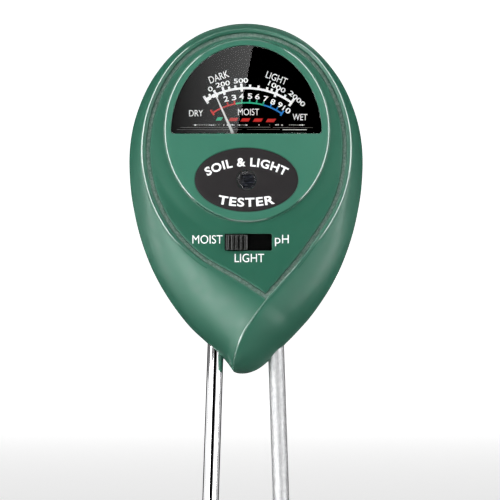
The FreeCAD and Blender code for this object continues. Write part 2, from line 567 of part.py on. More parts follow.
clamp = box(-11.6, 11.6, 0.0, 4.4, 208.2, 219.8)
clamp = clamp.makeFillet(0.8, [e for e in clamp.Edges if abs(e.BoundBox.YMin - 4.4) < 1e-3 and abs(e.BoundBox.YMax - 4.4) < 1e-3])
for s in (-1, 1):
    clamp = clamp.cut(probe_shank(s, 0.01, 3.0))
for x, z in CLAMP_SCREWS:
    clamp = clamp.cut(cyl_y(x, z, 1.1, -1, 5))
node("probe_clamp", one(clamp))
node("clamp_screws", group(*[screw(x, z, 4.4, -6.2, 1.0, 1.9, 1.3) for x, z in CLAMP_SCREWS]))
tags, tag_screws = [], []
for s in (-1, 1):
    top, tip, d = probe_axis(s)
    t = Part.makeCylinder(1.9, 0.4, top - d * 0.4, d)
    t = t.fuse(box(top.x - 0.7, top.x + 0.7, 0.0, 4.6, top.z + 0.08, top.z + 0.32))
    t = t.cut(Part.makeCylinder(0.8, 3.0, top - d * 1.5, d))
    tags.append(one(t))
    sc = Part.makeCylinder(0.75, 3.2, top - d * 0.4, d).fuse(Part.makeCylinder(1.35, 0.8, top - d * 1.2, d))
    tag_screws.append(one(sc.cut(box(top.x - 2, top.x + 2, -0.2, 0.2, top.z + 0.8, top.z + 2.0))))
node("probe_tags", group(*tags))
node("tag_screws", group(*tag_screws))

# ---------------------------------------------------------------- resistors and wires


def tube(points, r, frac=0.45):
    """straight runs joined by tangent arcs"""
    P = [V(*p) for p in points]
    edges = []
    start = P[0]
    length = 0.0
    for i in range(1, len(P) - 1):
        a, b, c = P[i - 1], P[i], P[i + 1]
        u, w = (a - b), (c - b)
        lu, lw = u.Length, w.Length
        u.normalize()
        w.normalize()
        cut = frac * min(lu, lw)
        p1, p2 = b + u * cut, b + w * cut
        half = u.getAngle(w) / 2
        bis = (u + w)
        bis.normalize()
        R = cut * math.tan(half)
        centre = b + bis * (cut / math.cos(half))
        mid = centre - bis * R
        edges.append(Part.LineSegment(start, p1).toShape())
        edges.append(Part.Arc(p1, mid, p2).toShape())
        start = p2
    edges.append(Part.LineSegment(start, P[-1]).toShape())
    path = Part.Wire(edges)
    d = (P[1] - P[0])
    d.normalize()
    prof = Part.Wire([Part.Circle(P[0], d, r).toShape()])
    s = path.makePipeShell([prof], True, False)
    return one(s)


T = {}
k = 0
for dz in (-1.5, 1.5):
    for x in PADS:
        T[k] = (x, SLOT_CZ + dz)
        k += 1
# terminals 0-3 lower row, 4-7 upper row; each wire starts at the end of its terminal
WR = 0.45
tl, _, dl = probe_axis(-1)
tr, _, dr = probe_axis(1)
node("wire_left_probe", tube([(T[0][0], -1.6, T[0][1]), (T[0][0], 1.4, T[0][1]), (T[0][0] - 0.8, 5.6, 228.2),
                              (tl.x, 5.6, 225.5), (tl.x, 4.1, tl.z + 0.85), (tl.x, 2.6, tl.z + 0.85)], WR))
node("wire_right_probe", tube([(T[3][0], -1.6, T[3][1]), (T[3][0], 1.4, T[3][1]), (T[3][0] + 0.8, 5.6, 228.2),
                               (tr.x, 5.6, 225.5), (tr.x, 4.1, tr.z + 0.85), (tr.x, 2.6, tr.z + 0.85)], WR))
for n, dx, t in (("wire_photocell_a", -1.27, 5), ("wire_photocell_b", 1.27, 6)):
    x = sx + dx
    node(n, tube([(x, -9.05, 239.79), (x, -9.05, 237.9), (x, -5.6, 236.3), (x, 1.0, 235.8),
                  (T[t][0], 3.4, 233.2), (T[t][0], 1.6, T[t][1]), (T[t][0], -1.6, T[t][1])], 0.35))
node("wire_movement_a", tube([(T[4][0], -1.6, T[4][1]), (T[4][0], 1.6, T[4][1]), (T[4][0] - 3.0, 8.0, 236.0),
                              (px - 9.0, 12.4, 243.0), (px - 9.0, 12.4, pz - 1.5), (px - 9.0, 10.0, pz - 1.5)], WR))
node("wire_movement_b", tube([(T[7][0], -1.6, T[7][1]), (T[7][0], 1.6, T[7][1]), (T[7][0] + 3.0, 8.0, 236.0),
                              (px + 9.0, 12.4, 243.0), (px + 9.0, 12.4, pz - 1.5), (px + 9.0, 10.0, pz - 1.5)], WR))
res = []
for z, (a, b) in ((T[0][1], (1, 2)),):
    xa, xb = T[a][0], T[b][0]
    m = (xa + xb) / 2
    res.append(m)
r1 = tube([(T[1][0], -1.6, T[1][1]), (T[1][0], 0.4, T[1][1]), (T[2][0], 0.4, T[2][1]), (T[2][0], -1.6, T[2][1])], 0.22)
r1 = r1.fuse(Part.makeCylinder(0.95, 2.2, V(res[0] - 1.1, 0.4, T[1][1]), V(1, 0, 0)))
node("calibration_resistor", one(r1))

node("case_screws", group(*[screw(x, z, 6.0, -6.6, 1.15, 2.1, 1.7, slot=0.6) for x, z in CASE_SCREWS]))

# ---------------------------------------------------------------- write
os.makedirs("parts", exist_ok=True)
for old in os.listdir("parts"):
    if old.endswith(".step") and old[:-5] not in NODES:
        os.remove(os.path.join("parts", old))
for name, shape in NODES.items():
    bb = shape.BoundBox
    print("%-24s solids %d valid %s vol %.2f  y %.2f..%.2f z %.2f..%.2f" % (
        name, len(shape.Solids), shape.isValid(), shape.Volume, bb.YMin, bb.YMax, bb.ZMin, bb.ZMax))
    shape.exportStep(os.path.join("parts", name + ".step"))
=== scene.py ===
import bpy, bmesh, math, json
import numpy as np
from mathutils import Vector, Matrix
from mathutils.geometry import delaunay_2d_cdt


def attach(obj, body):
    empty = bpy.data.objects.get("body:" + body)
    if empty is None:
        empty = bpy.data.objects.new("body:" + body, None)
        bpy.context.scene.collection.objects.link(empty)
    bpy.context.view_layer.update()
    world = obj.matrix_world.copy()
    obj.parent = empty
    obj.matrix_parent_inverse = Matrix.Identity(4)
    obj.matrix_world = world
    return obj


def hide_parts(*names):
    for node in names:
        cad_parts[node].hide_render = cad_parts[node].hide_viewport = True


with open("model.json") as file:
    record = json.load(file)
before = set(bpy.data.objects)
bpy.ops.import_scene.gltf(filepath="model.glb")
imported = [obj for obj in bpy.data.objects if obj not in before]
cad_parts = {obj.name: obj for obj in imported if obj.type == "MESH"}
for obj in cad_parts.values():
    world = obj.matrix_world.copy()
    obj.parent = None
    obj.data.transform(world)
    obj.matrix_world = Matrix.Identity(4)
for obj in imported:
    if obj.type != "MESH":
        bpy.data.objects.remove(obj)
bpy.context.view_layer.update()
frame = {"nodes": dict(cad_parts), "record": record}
nodes = frame["nodes"]
MM = 0.001
rng = np.random.default_rng(7)

# ------------------------------------------------------------------ materials
MATS = {}


def new_mat(name):
    m = bpy.data.materials.new(name)
    m.use_nodes = True
    nt = m.node_tree
    for n in list(nt.nodes):
        nt.nodes.remove(n)
    out = nt.nodes.new("ShaderNodeOutputMaterial")
    b = nt.nodes.new("ShaderNodeBsdfPrincipled")
    nt.links.new(b.outputs[0], out.inputs[0])
    MATS[name] = m
    return m, nt, b


def coords(nt, scale=(1, 1, 1)):
    tc = nt.nodes.new("ShaderNodeTexCoord")
    mp = nt.nodes.new("ShaderNodeMapping")
    mp.inputs["Scale"].default_value = scale
    nt.links.new(tc.outputs["Object"], mp.inputs[0])
    return mp.outputs[0]


def noise(nt, vec, scale, detail=3.0, rough=0.55):
    n = nt.nodes.new("ShaderNodeTexNoise")
    n.inputs["Scale"].default_value = scale
    n.inputs["Detail"].default_value = detail
    n.inputs["Roughness"].default_value = rough
    nt.links.new(vec, n.inputs["Vector"])
    return n.outputs["Fac"]


def ramp(nt, fac, stops):
    r = nt.nodes.new("ShaderNodeValToRGB")
    e = r.color_ramp.elements
    e[0].position, e[0].color = stops[0][0], (*stops[0][1], 1)
    e[1].position, e[1].color = stops[-1][0], (*stops[-1][1], 1)
    for p, c in stops[1:-1]:
        k = e.new(p)
        k.color = (*c, 1)
    nt.links.new(fac, r.inputs[0])
    return r.outputs[0]


def remap(nt, fac, a, b, lo=0.3, hi=0.7):
    m = nt.nodes.new("ShaderNodeMapRange")
    m.inputs["From Min"].default_value = lo
    m.inputs["From Max"].default_value = hi
    m.inputs["To Min"].default_value = a
    m.inputs["To Max"].default_value = b
    nt.links.new(fac, m.inputs["Value"])
    return m.outputs[0]


def bump(nt, b, layers):
    """layers: (height socket, strength, distance in metres)"""
    prev = None
    for h, s, d in layers:
        n = nt.nodes.new("ShaderNodeBump")
        n.inputs["Strength"].default_value = s
        n.inputs["Distance"].default_value = d
        nt.links.new(h, n.inputs["Height"])
        if prev is not None:
            nt.links.new(prev, n.inputs["Normal"])
        prev = n.outputs[0]
    nt.links.new(prev, b.inputs["Normal"])


def lighten(c, k):
    return tuple(min(1.0, v * k) for v in c)


def plastic(name, col, rough, grain_scale=5200, grain=0.12, spread=0.10, spec=0.5, coat=0.0, dist=0.00002):
    m, nt, b = new_mat(name)
    v = coords(nt)
    big = noise(nt, v, 60, 4)
    fine = noise(nt, v, grain_scale, 2, 0.6)
    mid = noise(nt, v, 420, 3)
    nt.links.new(ramp(nt, big, [(0.3, lighten(col, 1 - spread)), (0.7, lighten(col, 1 + spread))]), b.inputs["Base Color"])
    nt.links.new(remap(nt, mid, rough - 0.04, rough + 0.05), b.inputs["Roughness"])
    b.inputs["Specular IOR Level"].default_value = spec
    if coat:
        b.inputs["Coat Weight"].default_value = coat
        b.inputs["Coat Roughness"].default_value = 0.12
    bump(nt, b, [(fine, grain, dist), (mid, 0.08, 0.00003)])
    return m


def metal(name, col, rough, streak=(1, 1, 1), streak_scale=900, amount=0.10, bumpd=0.000008, aniso=0.0):
    m, nt, b = new_mat(name)
    v = coords(nt, streak)
    n1 = noise(nt, v, streak_scale, 4, 0.6)
    v2 = coords(nt)
    n2 = noise(nt, v2, 140, 3)
    nt.links.new(ramp(nt, n2, [(0.3, lighten(col, 0.90)), (0.7, lighten(col, 1.06))]), b.inputs["Base Color"])
    nt.links.new(remap(nt, n1, max(0.02, rough - amount), rough + amount), b.inputs["Roughness"])
    b.inputs["Metallic"].default_value = 1.0
    b.inputs["Anisotropic"].default_value = aniso
    bump(nt, b, [(n1, 0.25, bumpd)])
    return m


GREEN = (0.0205, 0.1290, 0.0800)
plastic("case_green", GREEN, 0.37, 5200, 0.12, 0.05, 0.42)
plastic("case_green_worn", (0.0250, 0.1300, 0.0820), 0.17, 5200, 0.05, 0.04, 0.6, 0.5)
# lighter copy of the case green for the plateau and the window's lip: painted light
plastic("case_green_painted_light", (0.0370, 0.1840, 0.1200), 0.34, 5600, 0.12, 0.05, 0.45)
# darker copy of the case green for the panel round the plateau: painted shade
plastic("case_green_painted_shade", (0.0175, 0.1180, 0.0720), 0.40, 5200, 0.12, 0.05, 0.26)
# matt, coarse-grained floor of the channel
m, nt, b = new_mat("case_green_grain")
v = coords(nt)
g1 = noise(nt, v, 1250, 3, 0.7)
g2 = noise(nt, v, 3600, 2, 0.6)
nt.links.new(ramp(nt, g1, [(0.32, (0.080, 0.180, 0.140)), (0.68, (0.290, 0.400, 0.345))]), b.inputs["Base Color"])
nt.links.new(remap(nt, g2, 0.55, 0.75), b.inputs["Roughness"])
b.inputs["Specular IOR Level"].default_value = 0.5
bump(nt, b, [(g1, 0.9, 0.00008), (g2, 0.5, 0.00003)])

plastic("label_black", (0.0085, 0.0070, 0.0076), 0.52, 3800, 0.6, 0.25, 0.22, 0.0, 0.00003)
plastic("black_plastic", (0.012, 0.012, 0.013), 0.45, 2200, 0.35, 0.15)
plastic("knob_black", (0.0065, 0.0070, 0.0065), 0.24, 2600, 0.2, 0.15)
# near-black shield behind the knob: painted shade for the inside of the slot
plastic("shield_painted_shade", (0.0010, 0.0010, 0.0010), 0.6, 2600, 0.2, 0.15, 0.04)
plastic("dial_black", (0.0003, 0.0003, 0.0004), 0.85, 3000, 0.05, 0.2, 0.0)
plastic("phenolic", (0.13, 0.05, 0.02), 0.5, 1800, 0.4, 0.25)
plastic("print_white", (0.94, 0.94, 0.94), 0.55, 3000, 0.15, 0.02, 0.3)
# the white print glows faintly: painted light, so it reads brighter than its lighting makes it
MATS["print_white"].node_tree.nodes["Principled BSDF"].inputs["Emission Color"].default_value = (1, 1, 1, 1)
MATS["print_white"].node_tree.nodes["Principled BSDF"].inputs["Emission Strength"].default_value = 0.22
plastic("print_red", (0.75, 0.025, 0.020), 0.55, 3000, 0.15, 0.05, 0.3)
plastic("print_green", (0.03, 0.62, 0.33), 0.55, 3000, 0.15, 0.05, 0.3)
plastic("print_blue", (0.02, 0.28, 0.80), 0.55, 3000, 0.15, 0.05, 0.3)
plastic("print_grey", (0.30, 0.30, 0.29), 0.55, 3000, 0.15, 0.1, 0.3)
plastic("needle_white", (0.88, 0.88, 0.87), 0.45, 2600, 0.10, 0.02, 0.4)
plastic("wire_red", (0.42, 0.012, 0.010), 0.42, 1600, 0.3, 0.08)
plastic("wire_black", (0.012, 0.012, 0.012), 0.42, 1600, 0.3, 0.1)
plastic("wire_yellow", (0.62, 0.40, 0.03), 0.42, 1600, 0.3, 0.08)
plastic("resistor_body", (0.55, 0.40, 0.22), 0.35, 1600, 0.3, 0.1)
plastic("magnet", (0.05, 0.05, 0.055), 0.6, 1400, 0.7, 0.25)
metal("steel", (0.62, 0.62, 0.61), 0.28, (1, 1, 1), 700, 0.08)
metal("soft_iron", (0.36, 0.35, 0.34), 0.40, (1, 8, 1), 500, 0.1)
metal("aluminium", (0.80, 0.80, 0.82), 0.34, (1, 6, 1), 500, 0.1)
metal("brass", (0.72, 0.52, 0.22), 0.28, (1, 1, 1), 600, 0.08)
metal("bronze", (0.66, 0.42, 0.20), 0.30, (1, 1, 1), 600, 0.08)
metal("copper", (0.62, 0.24, 0.10), 0.30, (1, 30, 1), 900, 0.10)
metal("contact_silver", (0.80, 0.79, 0.75), 0.25, (1, 1, 1), 700, 0.08)
metal("bright_plate", (0.93, 0.93, 0.94), 0.055, (1, 1, 0.05), 1500, 0.025, 0.000002)
# matt drawn alloy: streaks along the rod, mottled haze
m, nt, b = new_mat("matt_alloy")
v = coords(nt, (1, 1, 0.06))
s1 = noise(nt, v, 2600, 4, 0.65)
v2 = coords(nt)
s2 = noise(nt, v2, 900, 4, 0.6)
nt.links.new(ramp(nt, s2, [(0.3, (0.340, 0.345, 0.350)), (0.7, (0.445, 0.445, 0.450))]), b.inputs["Base Color"])
nt.links.new(remap(nt, s1, 0.44, 0.66), b.inputs["Roughness"])
b.inputs["Metallic"].default_value = 0.72
bump(nt, b, [(s1, 0.5, 0.00001), (s2, 0.35, 0.00001)])


def clear(name, tint, rough_lo, rough_hi, ior):
    m, nt, b = new_mat(name)
    v = coords(nt)
    n = noise(nt, v, 240, 4)
    nt.links.new(ramp(nt, n, [(0.3, lighten(tint, 0.985)), (0.7, tint)]), b.inputs["Base Color"])
    nt.links.new(remap(nt, n, rough_lo, rough_hi), b.inputs["Roughness"])
    b.inputs["Transmission Weight"].default_value = 1.0
    b.inputs["IOR"].default_value = ior
    return m


clear("window_clear", (0.99, 1.0, 1.0), 0.0, 0.008, 1.45)
clear("lens_clear", (0.97, 0.99, 1.0), 0.0, 0.01, 1.45)
# photocell: dark wafer with fine contact fingers
m, nt, b = new_mat("silicon")
v = coords(nt, (1, 1, 1))
w = nt.nodes.new("ShaderNodeTexWave")
w.bands_direction = "Z"
w.inputs["Scale"].default_value = 420
w.inputs["Distortion"].default_value = 0.0
nt.links.new(v, w.inputs["Vector"])
n = noise(nt, v, 900, 3)
nt.links.new(ramp(nt, w.outputs["Fac"], [(0.0, (0.008, 0.010, 0.016)), (0.94, (0.012, 0.015, 0.024)), (1.0, (0.08, 0.08, 0.085))]), b.inputs["Base Color"])
nt.links.new(remap(nt, n, 0.18, 0.32), b.inputs["Roughness"])
b.inputs["Specular IOR Level"].default_value = 0.6

SLOT_OF = {s["node"]: s["material_slot"] for s in frame["record"]["subparts"]}
for name, o in nodes.items():
    mat = MATS.get(SLOT_OF.get(name, ""), MATS["black_plastic"])
    o.data.materials.clear()
    o.data.materials.append(mat)

# ------------------------------------------------------------------ curves, in mm, as (X, Z)
# outline from the notch at the foot of the left lobe, up the left, over the top, down the right and round the nose
HALF = [(289.83, 3.48), (288.7, 8.6), (287.6, 11.77), (285.38, 15.80), (283.15, 18.73), (280.92, 21.10),
        (278.69, 23.05), (276.47, 24.73), (274.24, 26.28), (272.0, 27.49), (269.78, 28.59), (267.55, 29.48), (265.33, 30.29),
        (263.1, 31.0), (260.87, 31.54), (258.65, 31.96), (256.42, 32.24), (254.19, 32.45), (251.96, 32.50), (249.73, 32.48),
        (247.50, 32.38), (245.27, 32.22), (243.05, 32.04), (240.8, 31.73), (238.59, 31.28), (236.35, 30.9),
        (234.13, 30.41), (231.9, 29.84), (229.68, 29.20), (227.45, 28.48), (225.22, 27.65), (223.0, 26.79), (220.77, 25.79),
        (218.54, 24.62), (216.31, 23.45), (214.08, 22.04), (211.86, 20.58), (209.63, 18.99), (207.40, 17.25)]
LOW_L = [(-15.39, 205.18), (-13.55, 203.4), (-12.6, 202.65), (-11.03, 201.25), (-8.91, 199.29), (-6.6, 197.15), (-5.71, 196.31), (-4.9, 195.4)]
LOW_R = [(15.2, 205.18), (13.3, 203.1), (11.8, 201.6), (10.28, 200.1), (8.49, 198.26), (6.74, 196.5), (5.65, 195.4), (4.23, 194.25), (2.65, 193.3),
         (1.03, 192.65), (-0.6, 192.4), (-1.9, 192.38), (-2.8, 192.55), (-3.45, 192.95)]
NOTCH = [(-3.45, 192.95), (-3.85, 193.45), (-4.34, 194.31), (-4.9, 195.4)]
B_LEFT = [(-6.68, 286.49), (-9.89, 285.38), (-15.07, 282.59), (-18.3, 279.81), (-20.66, 277.02), (-22.45, 274.24), (-24.01, 271.45),
          (-25.2, 268.67), (-26.23, 265.88), (-26.93, 263.1), (-27.43, 260.31), (-27.74, 257.53), (-27.91, 254.74), (-27.71, 251.12),
          (-27.24, 247.78), (-26.23, 243.6), (-25.23, 240.82), (-24.03, 238.03), (-22.5, 235.25), (-20.72, 232.46), (-18.44, 229.68),
          (-15.74, 226.89), (-12.42, 224.11), (-10.14, 222.71), (-7.69, 221.32), (-5.12, 219.93), (-2.67, 218.54), (-0.39, 217.14),
          (1.7, 215.75), (3.87, 214.36), (5.55, 213.2)]
B_RIGHT = [(6.96, 286.49), (10.44, 285.38), (15.65, 282.59), (18.83, 279.81), (21.14, 277.02), (22.95, 274.24), (24.51, 271.45),
           (25.68, 268.67), (26.62, 265.88), (27.35, 263.1), (27.82, 260.31), (28.07, 257.53), (28.1, 254.74), (27.91, 251.12),
           (27.54, 247.78), (26.54, 243.6), (25.62, 240.82), (24.31, 238.03), (22.78, 235.25), (21.03, 232.46), (19.08, 229.68),
           (17.07, 226.89), (15.01, 224.11), (12.7, 221.32), (10.3, 218.54), (9.08, 217.14), (7.88, 215.75), (6.7, 214.4), (5.55, 213.2)]
SEDGE = [(5.55, 213.2), (3.62, 210.71), (1.95, 208.37), (0.45, 206.23), (-0.58, 204.61), (-1.5, 202.94), (-2.23, 201.33), (-2.85, 199.6),
         (-3.25, 198.21), (-3.53, 196.81), (-3.66, 195.4), (-3.66, 194.1), (-3.45, 192.95)]
PLATEAU = (0.28, 260.17, 23.0, 25.5)
WINDOW = (0.10, 259.22, 21.0, 24.57)
LABEL = (0.14, 246.39, 14.4, 8.87)
SENSOR_R = 2.75
SLOT = (-5.90, 7.21, 229.04 - 2.35, 229.04 + 2.35)


def catmull(P, step=0.2):
    P = np.array(P, float)
    Q = np.vstack([2 * P[0] - P[1], P, 2 * P[-1] - P[-2]])
    out = []
    for i in range(1, len(Q) - 2):
        p0, p1, p2, p3 = Q[i - 1], Q[i], Q[i + 1], Q[i + 2]
        n = max(2, int(np.linalg.norm(p2 - p1) / step) + 1)
        t0 = 0.0
        t1 = t0 + max(1e-6, np.linalg.norm(p1 - p0)) ** 0.5
        t2 = t1 + max(1e-6, np.linalg.norm(p2 - p1)) ** 0.5
        t3 = t2 + max(1e-6, np.linalg.norm(p3 - p2)) ** 0.5
        for k in range(n):
            t = t1 + (t2 - t1) * k / n
            a1 = (t1 - t) / (t1 - t0) * p0 + (t - t0) / (t1 - t0) * p1
            a2 = (t2 - t) / (t2 - t1) * p1 + (t - t1) / (t2 - t1) * p2
            a3 = (t3 - t) / (t3 - t2) * p2 + (t - t2) / (t3 - t2) * p3
            b1 = (t2 - t) / (t2 - t0) * a1 + (t - t0) / (t2 - t0) * a2
            b2 = (t3 - t) / (t3 - t1) * a2 + (t - t1) / (t3 - t1) * a3
            out.append((t2 - t) / (t2 - t1) * b1 + (t - t1) / (t2 - t1) * b2)
    out.append(Q[-2])
    return np.array(out)


def arclen(P):
    return np.concatenate([[0], np.cumsum(np.linalg.norm(np.diff(P, axis=0), axis=1))])


def resample(P, n=None, step=None):
    s = arclen(P)
    if n is None:
        n = max(2, int(round(s[-1] / step)) + 1)
    u = np.linspace(0, s[-1], n)
    return np.column_stack([np.interp(u, s, P[:, k]) for k in range(P.shape[1])])


def smooth(P, sigma, step=0.2):
    """gaussian smoothing along an open curve whose ends stay put"""
    P = resample(P, step=step)
    w = int(4 * sigma / step)
    k = np.exp(-0.5 * (np.arange(-w, w + 1) * step / sigma) ** 2)
    k /= k.sum()
    w = min(w, len(P) - 2)
    k = k[len(k) // 2 - w:len(k) // 2 + w + 1]
    k /= k.sum()
    ext = np.vstack([2 * P[0] - P[w:0:-1], P, 2 * P[-1] - P[-2:-w - 2:-1]])
    return np.column_stack([np.convolve(ext[:, c], k, "valid") for c in range(P.shape[1])])


outline_main = [p for p in reversed(LOW_L)] + [(-w, z) for z, w in reversed(HALF)] + [(0.0, 290.0)] + [(w, z) for z, w in HALF]
upper = smooth(catmull(outline_main), 1.6)
nose = smooth(catmull([outline_main[-3], outline_main[-2], outline_main[-1]] + LOW_R), 0.45)
# join the upper outline and the nose where they meet
cut = np.argmin(np.linalg.norm(nose - upper[-1], axis=1))
right_full = np.vstack([upper, nose[cut + 1:]])
i_top = int(np.argmax(right_full[:, 1]))
OUT_R = right_full[i_top:]
notch = catmull(NOTCH)
OUT_L = np.vstack([right_full[:i_top + 1][::-1], notch[::-1][1:]])
b_all = smooth(catmull(B_LEFT[::-1] + [(0.28, 287.38)] + B_RIGHT), 1.3)
i_bt = int(np.argmax(b_all[:, 1]))
B_L = b_all[:i_bt + 1][::-1]
B_R = b_all[i_bt:]
S_C = smooth(catmull(SEDGE), 0.8)
# the right lobe's inner edge runs smoothly from the channel into its overlap
inner_r_full = smooth(np.vstack([B_R, S_C[1:]]), 0.7)


def nearest(P, p):
    return int(np.argmin(np.linalg.norm(P - np.array(p), axis=1)))


def pair_by_anchors(outer, inner, anchors):
    """for every inner sample, a point on the outer curve, by arc length between anchor pairs"""
    so, si = arclen(outer), arclen(inner)
    ao = [0.0] + [so[nearest(outer, a)] for a, _ in anchors] + [so[-1]]
    ai = [0.0] + [si[nearest(inner, b)] for _, b in anchors] + [si[-1]]
    # monotone smooth map
    t = np.interp(si, ai, ao)
    k = np.exp(-0.5 * (np.arange(-12, 13) / 5.0) ** 2)
    k /= k.sum()
    ext = np.concatenate([2 * t[0] - t[12:0:-1], t, 2 * t[-1] - t[-2:-14:-1]])
    t = np.convolve(ext, k, "valid")
    t[0], t[-1] = 0.0, so[-1]
    return np.column_stack([np.interp(t, so, outer[:, k2]) for k2 in range(2)])


STEP = 0.45
IN_L = resample(B_L, step=STEP)
n_s = int(arclen(S_C)[-1] / STEP)
iT = nearest(inner_r_full, SEDGE[0])
BR_part = resample(inner_r_full[:iT + 1], step=STEP)
S_part = resample(inner_r_full[iT:], n=n_s)
IN_L[-1] = BR_part[-1]
IN_L[0] = BR_part[0]
IN_R = np.vstack([BR_part, S_part[1:]])
NBR = len(BR_part)
OU_L = pair_by_anchors(OUT_L, IN_L, [((-32.4, 254.7), (-27.9, 254.7)), ((-31.0, 236.5), (-24.9, 240.0)), ((-25.0, 219.3), (-17.2, 228.3)),
                                     ((-19.2, 210.0), (-10.2, 222.7)), ((-12.6, 202.6), (-2.7, 218.5))])
OU_R = pair_by_anchors(OUT_R, IN_R, [((32.4, 254.7), (28.1, 254.7)), ((31.0, 236.5), (25.4, 240.2)), ((25.8, 220.8), (19.0, 229.6)),
                                     ((20.0, 211.2), (12.7, 221.3)), ((15.2, 205.2), (5.6, 213.2)), ((10.28, 200.1), (0.45, 206.2)),
                                     ((5.65, 195.4), (-2.2, 201.3)), ((1.03, 192.65), (-3.25, 198.2)), ((-1.9, 192.38), (-3.62, 195.4))])


class Build:
    def __init__(self):
        self.v, self.f, self.m = [], [], []

    def grid(self, rows, closed=False, mat=0):
        base = len(self.v)
        R, N = len(rows), len(rows[0])
        for r in rows:
            for p in r:
                self.v.append((p[0] * MM, -p[2] * MM, p[1] * MM))
        for i in range(R - 1):
            for j in range(N if closed else N - 1):
                a, b2 = base + i * N + j, base + i * N + (j + 1) % N
                c, d = base + (i + 1) * N + (j + 1) % N, base + (i + 1) * N + j
                self.f.append((a, b2, c, d))
                self.m.append(mat)

    def tris(self, pts, tris, mat=0):
        base = len(self.v)
        for p in pts:
            self.v.append((p[0] * MM, -p[2] * MM, p[1] * MM))
        for t in tris:
            self.f.append(tuple(base + k for k in t))
            self.m.append(mat)

    def object(self, name, mats, weld=0.0000012, angle=38, recalc=True):
        me = bpy.data.meshes.new(name)
        me.from_pydata(self.v, [], self.f)
        for mt in mats:
            me.materials.append(MATS[mt])
        for p, k in zip(me.polygons, self.m):
            p.material_index = k
        bm = bmesh.new()
        bm.from_mesh(me)
        bmesh.ops.remove_doubles(bm, verts=bm.verts, dist=weld)
        bmesh.ops.dissolve_degenerate(bm, edges=bm.edges, dist=1e-8)
        if recalc:
            bmesh.ops.recalc_face_normals(bm, faces=bm.faces)
        bm.to_mesh(me)
        bad = sum(1 for e in bm.edges if not e.is_manifold)
        bm.free()
        for p in me.polygons:
            p.use_smooth = True
        me.set_sharp_from_angle(angle=math.radians(angle))
        o = bpy.data.objects.new(name, me)
        bpy.context.scene.collection.objects.link(o)
        print("piece", name, "faces", len(me.polygons), "open edges", bad)
        return o


def loop_normals(P):
    """inward or outward unit normals of a closed loop, to the left of its direction"""
    d = np.roll(P, -1, axis=0) - np.roll(P, 1, axis=0)
    d /= np.linalg.norm(d, axis=1)[:, None]
    return np.column_stack([-d[:, 1], d[:, 0]])


def area2(P):
    x, y = P[:, 0], P[:, 1]
    return 0.5 * np.sum(x * np.roll(y, -1) - np.roll(x, -1) * y)


def offset(P, d):
    """closed loop moved outwards by d"""
    n = loop_normals(P)
    if area2(P) > 0:
        n = -n
    return P + n * d


def inside(poly, pts):
    x, y = pts[:, 0], pts[:, 1]
    res = np.zeros(len(pts), bool)
    px, py = poly[:, 0], poly[:, 1]
    qx, qy = np.roll(px, -1), np.roll(py, -1)
    for a, b2, c, d in zip(px, py, qx, qy):
        cond = ((b2 > y) != (d > y))
        with np.errstate(divide="ignore", invalid="ignore"):
            xi = (c - a) * (y - b2) / (d - b2) + a
        res ^= cond & (x < xi)
    return res


def mindist(poly, pts):
    best = np.full(len(pts), 1e9)
    for i in range(0, len(poly), 1):
        d = np.hypot(pts[:, 0] - poly[i, 0], pts[:, 1] - poly[i, 1])
        best = np.minimum(best, d)
    return best


def fill(outer, holes, hfun, spacing=0.9):
    """triangles between an outer loop and holes; extra points inside; heights from hfun"""
    lo, hi = outer.min(axis=0), outer.max(axis=0)
    xs = np.arange(lo[0], hi[0], spacing)
    zs = np.arange(lo[1], hi[1], spacing * 0.866)
    g = np.array([(x + (spacing / 2 if j % 2 else 0), z) for j, z in enumerate(zs) for x in xs])
    keep = inside(outer, g) & (mindist(outer, g) > spacing * 0.55)
    for h in holes:
        keep &= ~inside(h, g) & (mindist(h, g) > spacing * 0.55)
    g = g[keep]
    loops = [outer] + holes
    verts, edges = [], []
    for L in loops:
        b0 = len(verts)
        verts += [Vector((float(p[0]), float(p[1]))) for p in L]
        edges += [(b0 + i, b0 + (i + 1) % len(L)) for i in range(len(L))]
    verts += [Vector((float(p[0]), float(p[1]))) for p in g]
    ov, oe, of, *_ = delaunay_2d_cdt(verts, edges, [], 0, 1e-7)
    P = np.array([(q.x, q.y) for q in ov])
    T = np.array([t for t in of if len(t) == 3])
    C = P[T].mean(axis=1)
    ok = inside(outer, C)
    for h in holes:
        ok &= ~inside(h, C)
    T = T[ok]
    H = hfun(P[:, 0], P[:, 1])
    return np.column_stack([P, H]), [tuple(int(k) for k in t) for t in T]


def with_h(P, h):
    h = np.full(len(P), h) if np.isscalar(h) else h
    return np.column_stack([P, h])


# ------------------------------------------------------------------ heights (mm in front of the parting plane)
CREST_H = 10.8


def ramp01(x, a, b):
    t = np.clip((x - a) / (b - a), 0, 1)
    return t * t * (3 - 2 * t)


def plateau_h(x, z):
    q = ((x - PLATEAU[0]) / PLATEAU[2]) ** 2 + ((z - PLATEAU[1]) / PLATEAU[3]) ** 2
    return 12.0 - 0.30 * q


def ellipse_gap(x, z):
    """approximate distance outside the plateau's oval"""
    dx, dz = (x - PLATEAU[0]), (z - PLATEAU[1])
    r = np.sqrt((dx / PLATEAU[2]) ** 2 + (dz / PLATEAU[3]) ** 2)
    return np.maximum(0, (r - 1) * np.sqrt(dx ** 2 + dz ** 2) / np.maximum(r, 1e-6))


PANEL_W = 4.6


def panel_h(x, z):
    g = ellipse_gap(x, z)
    q = np.clip(g / PANEL_W, 0, 1)
    side = 10.95 - 0.80 * q ** 1.7
    low = 10.95 - 0.75 * np.clip(g / 22.0, 0, 1) ** 0.9
    w = ramp01(z, 222.0, 248.0)
    return low * (1 - w) + side * w


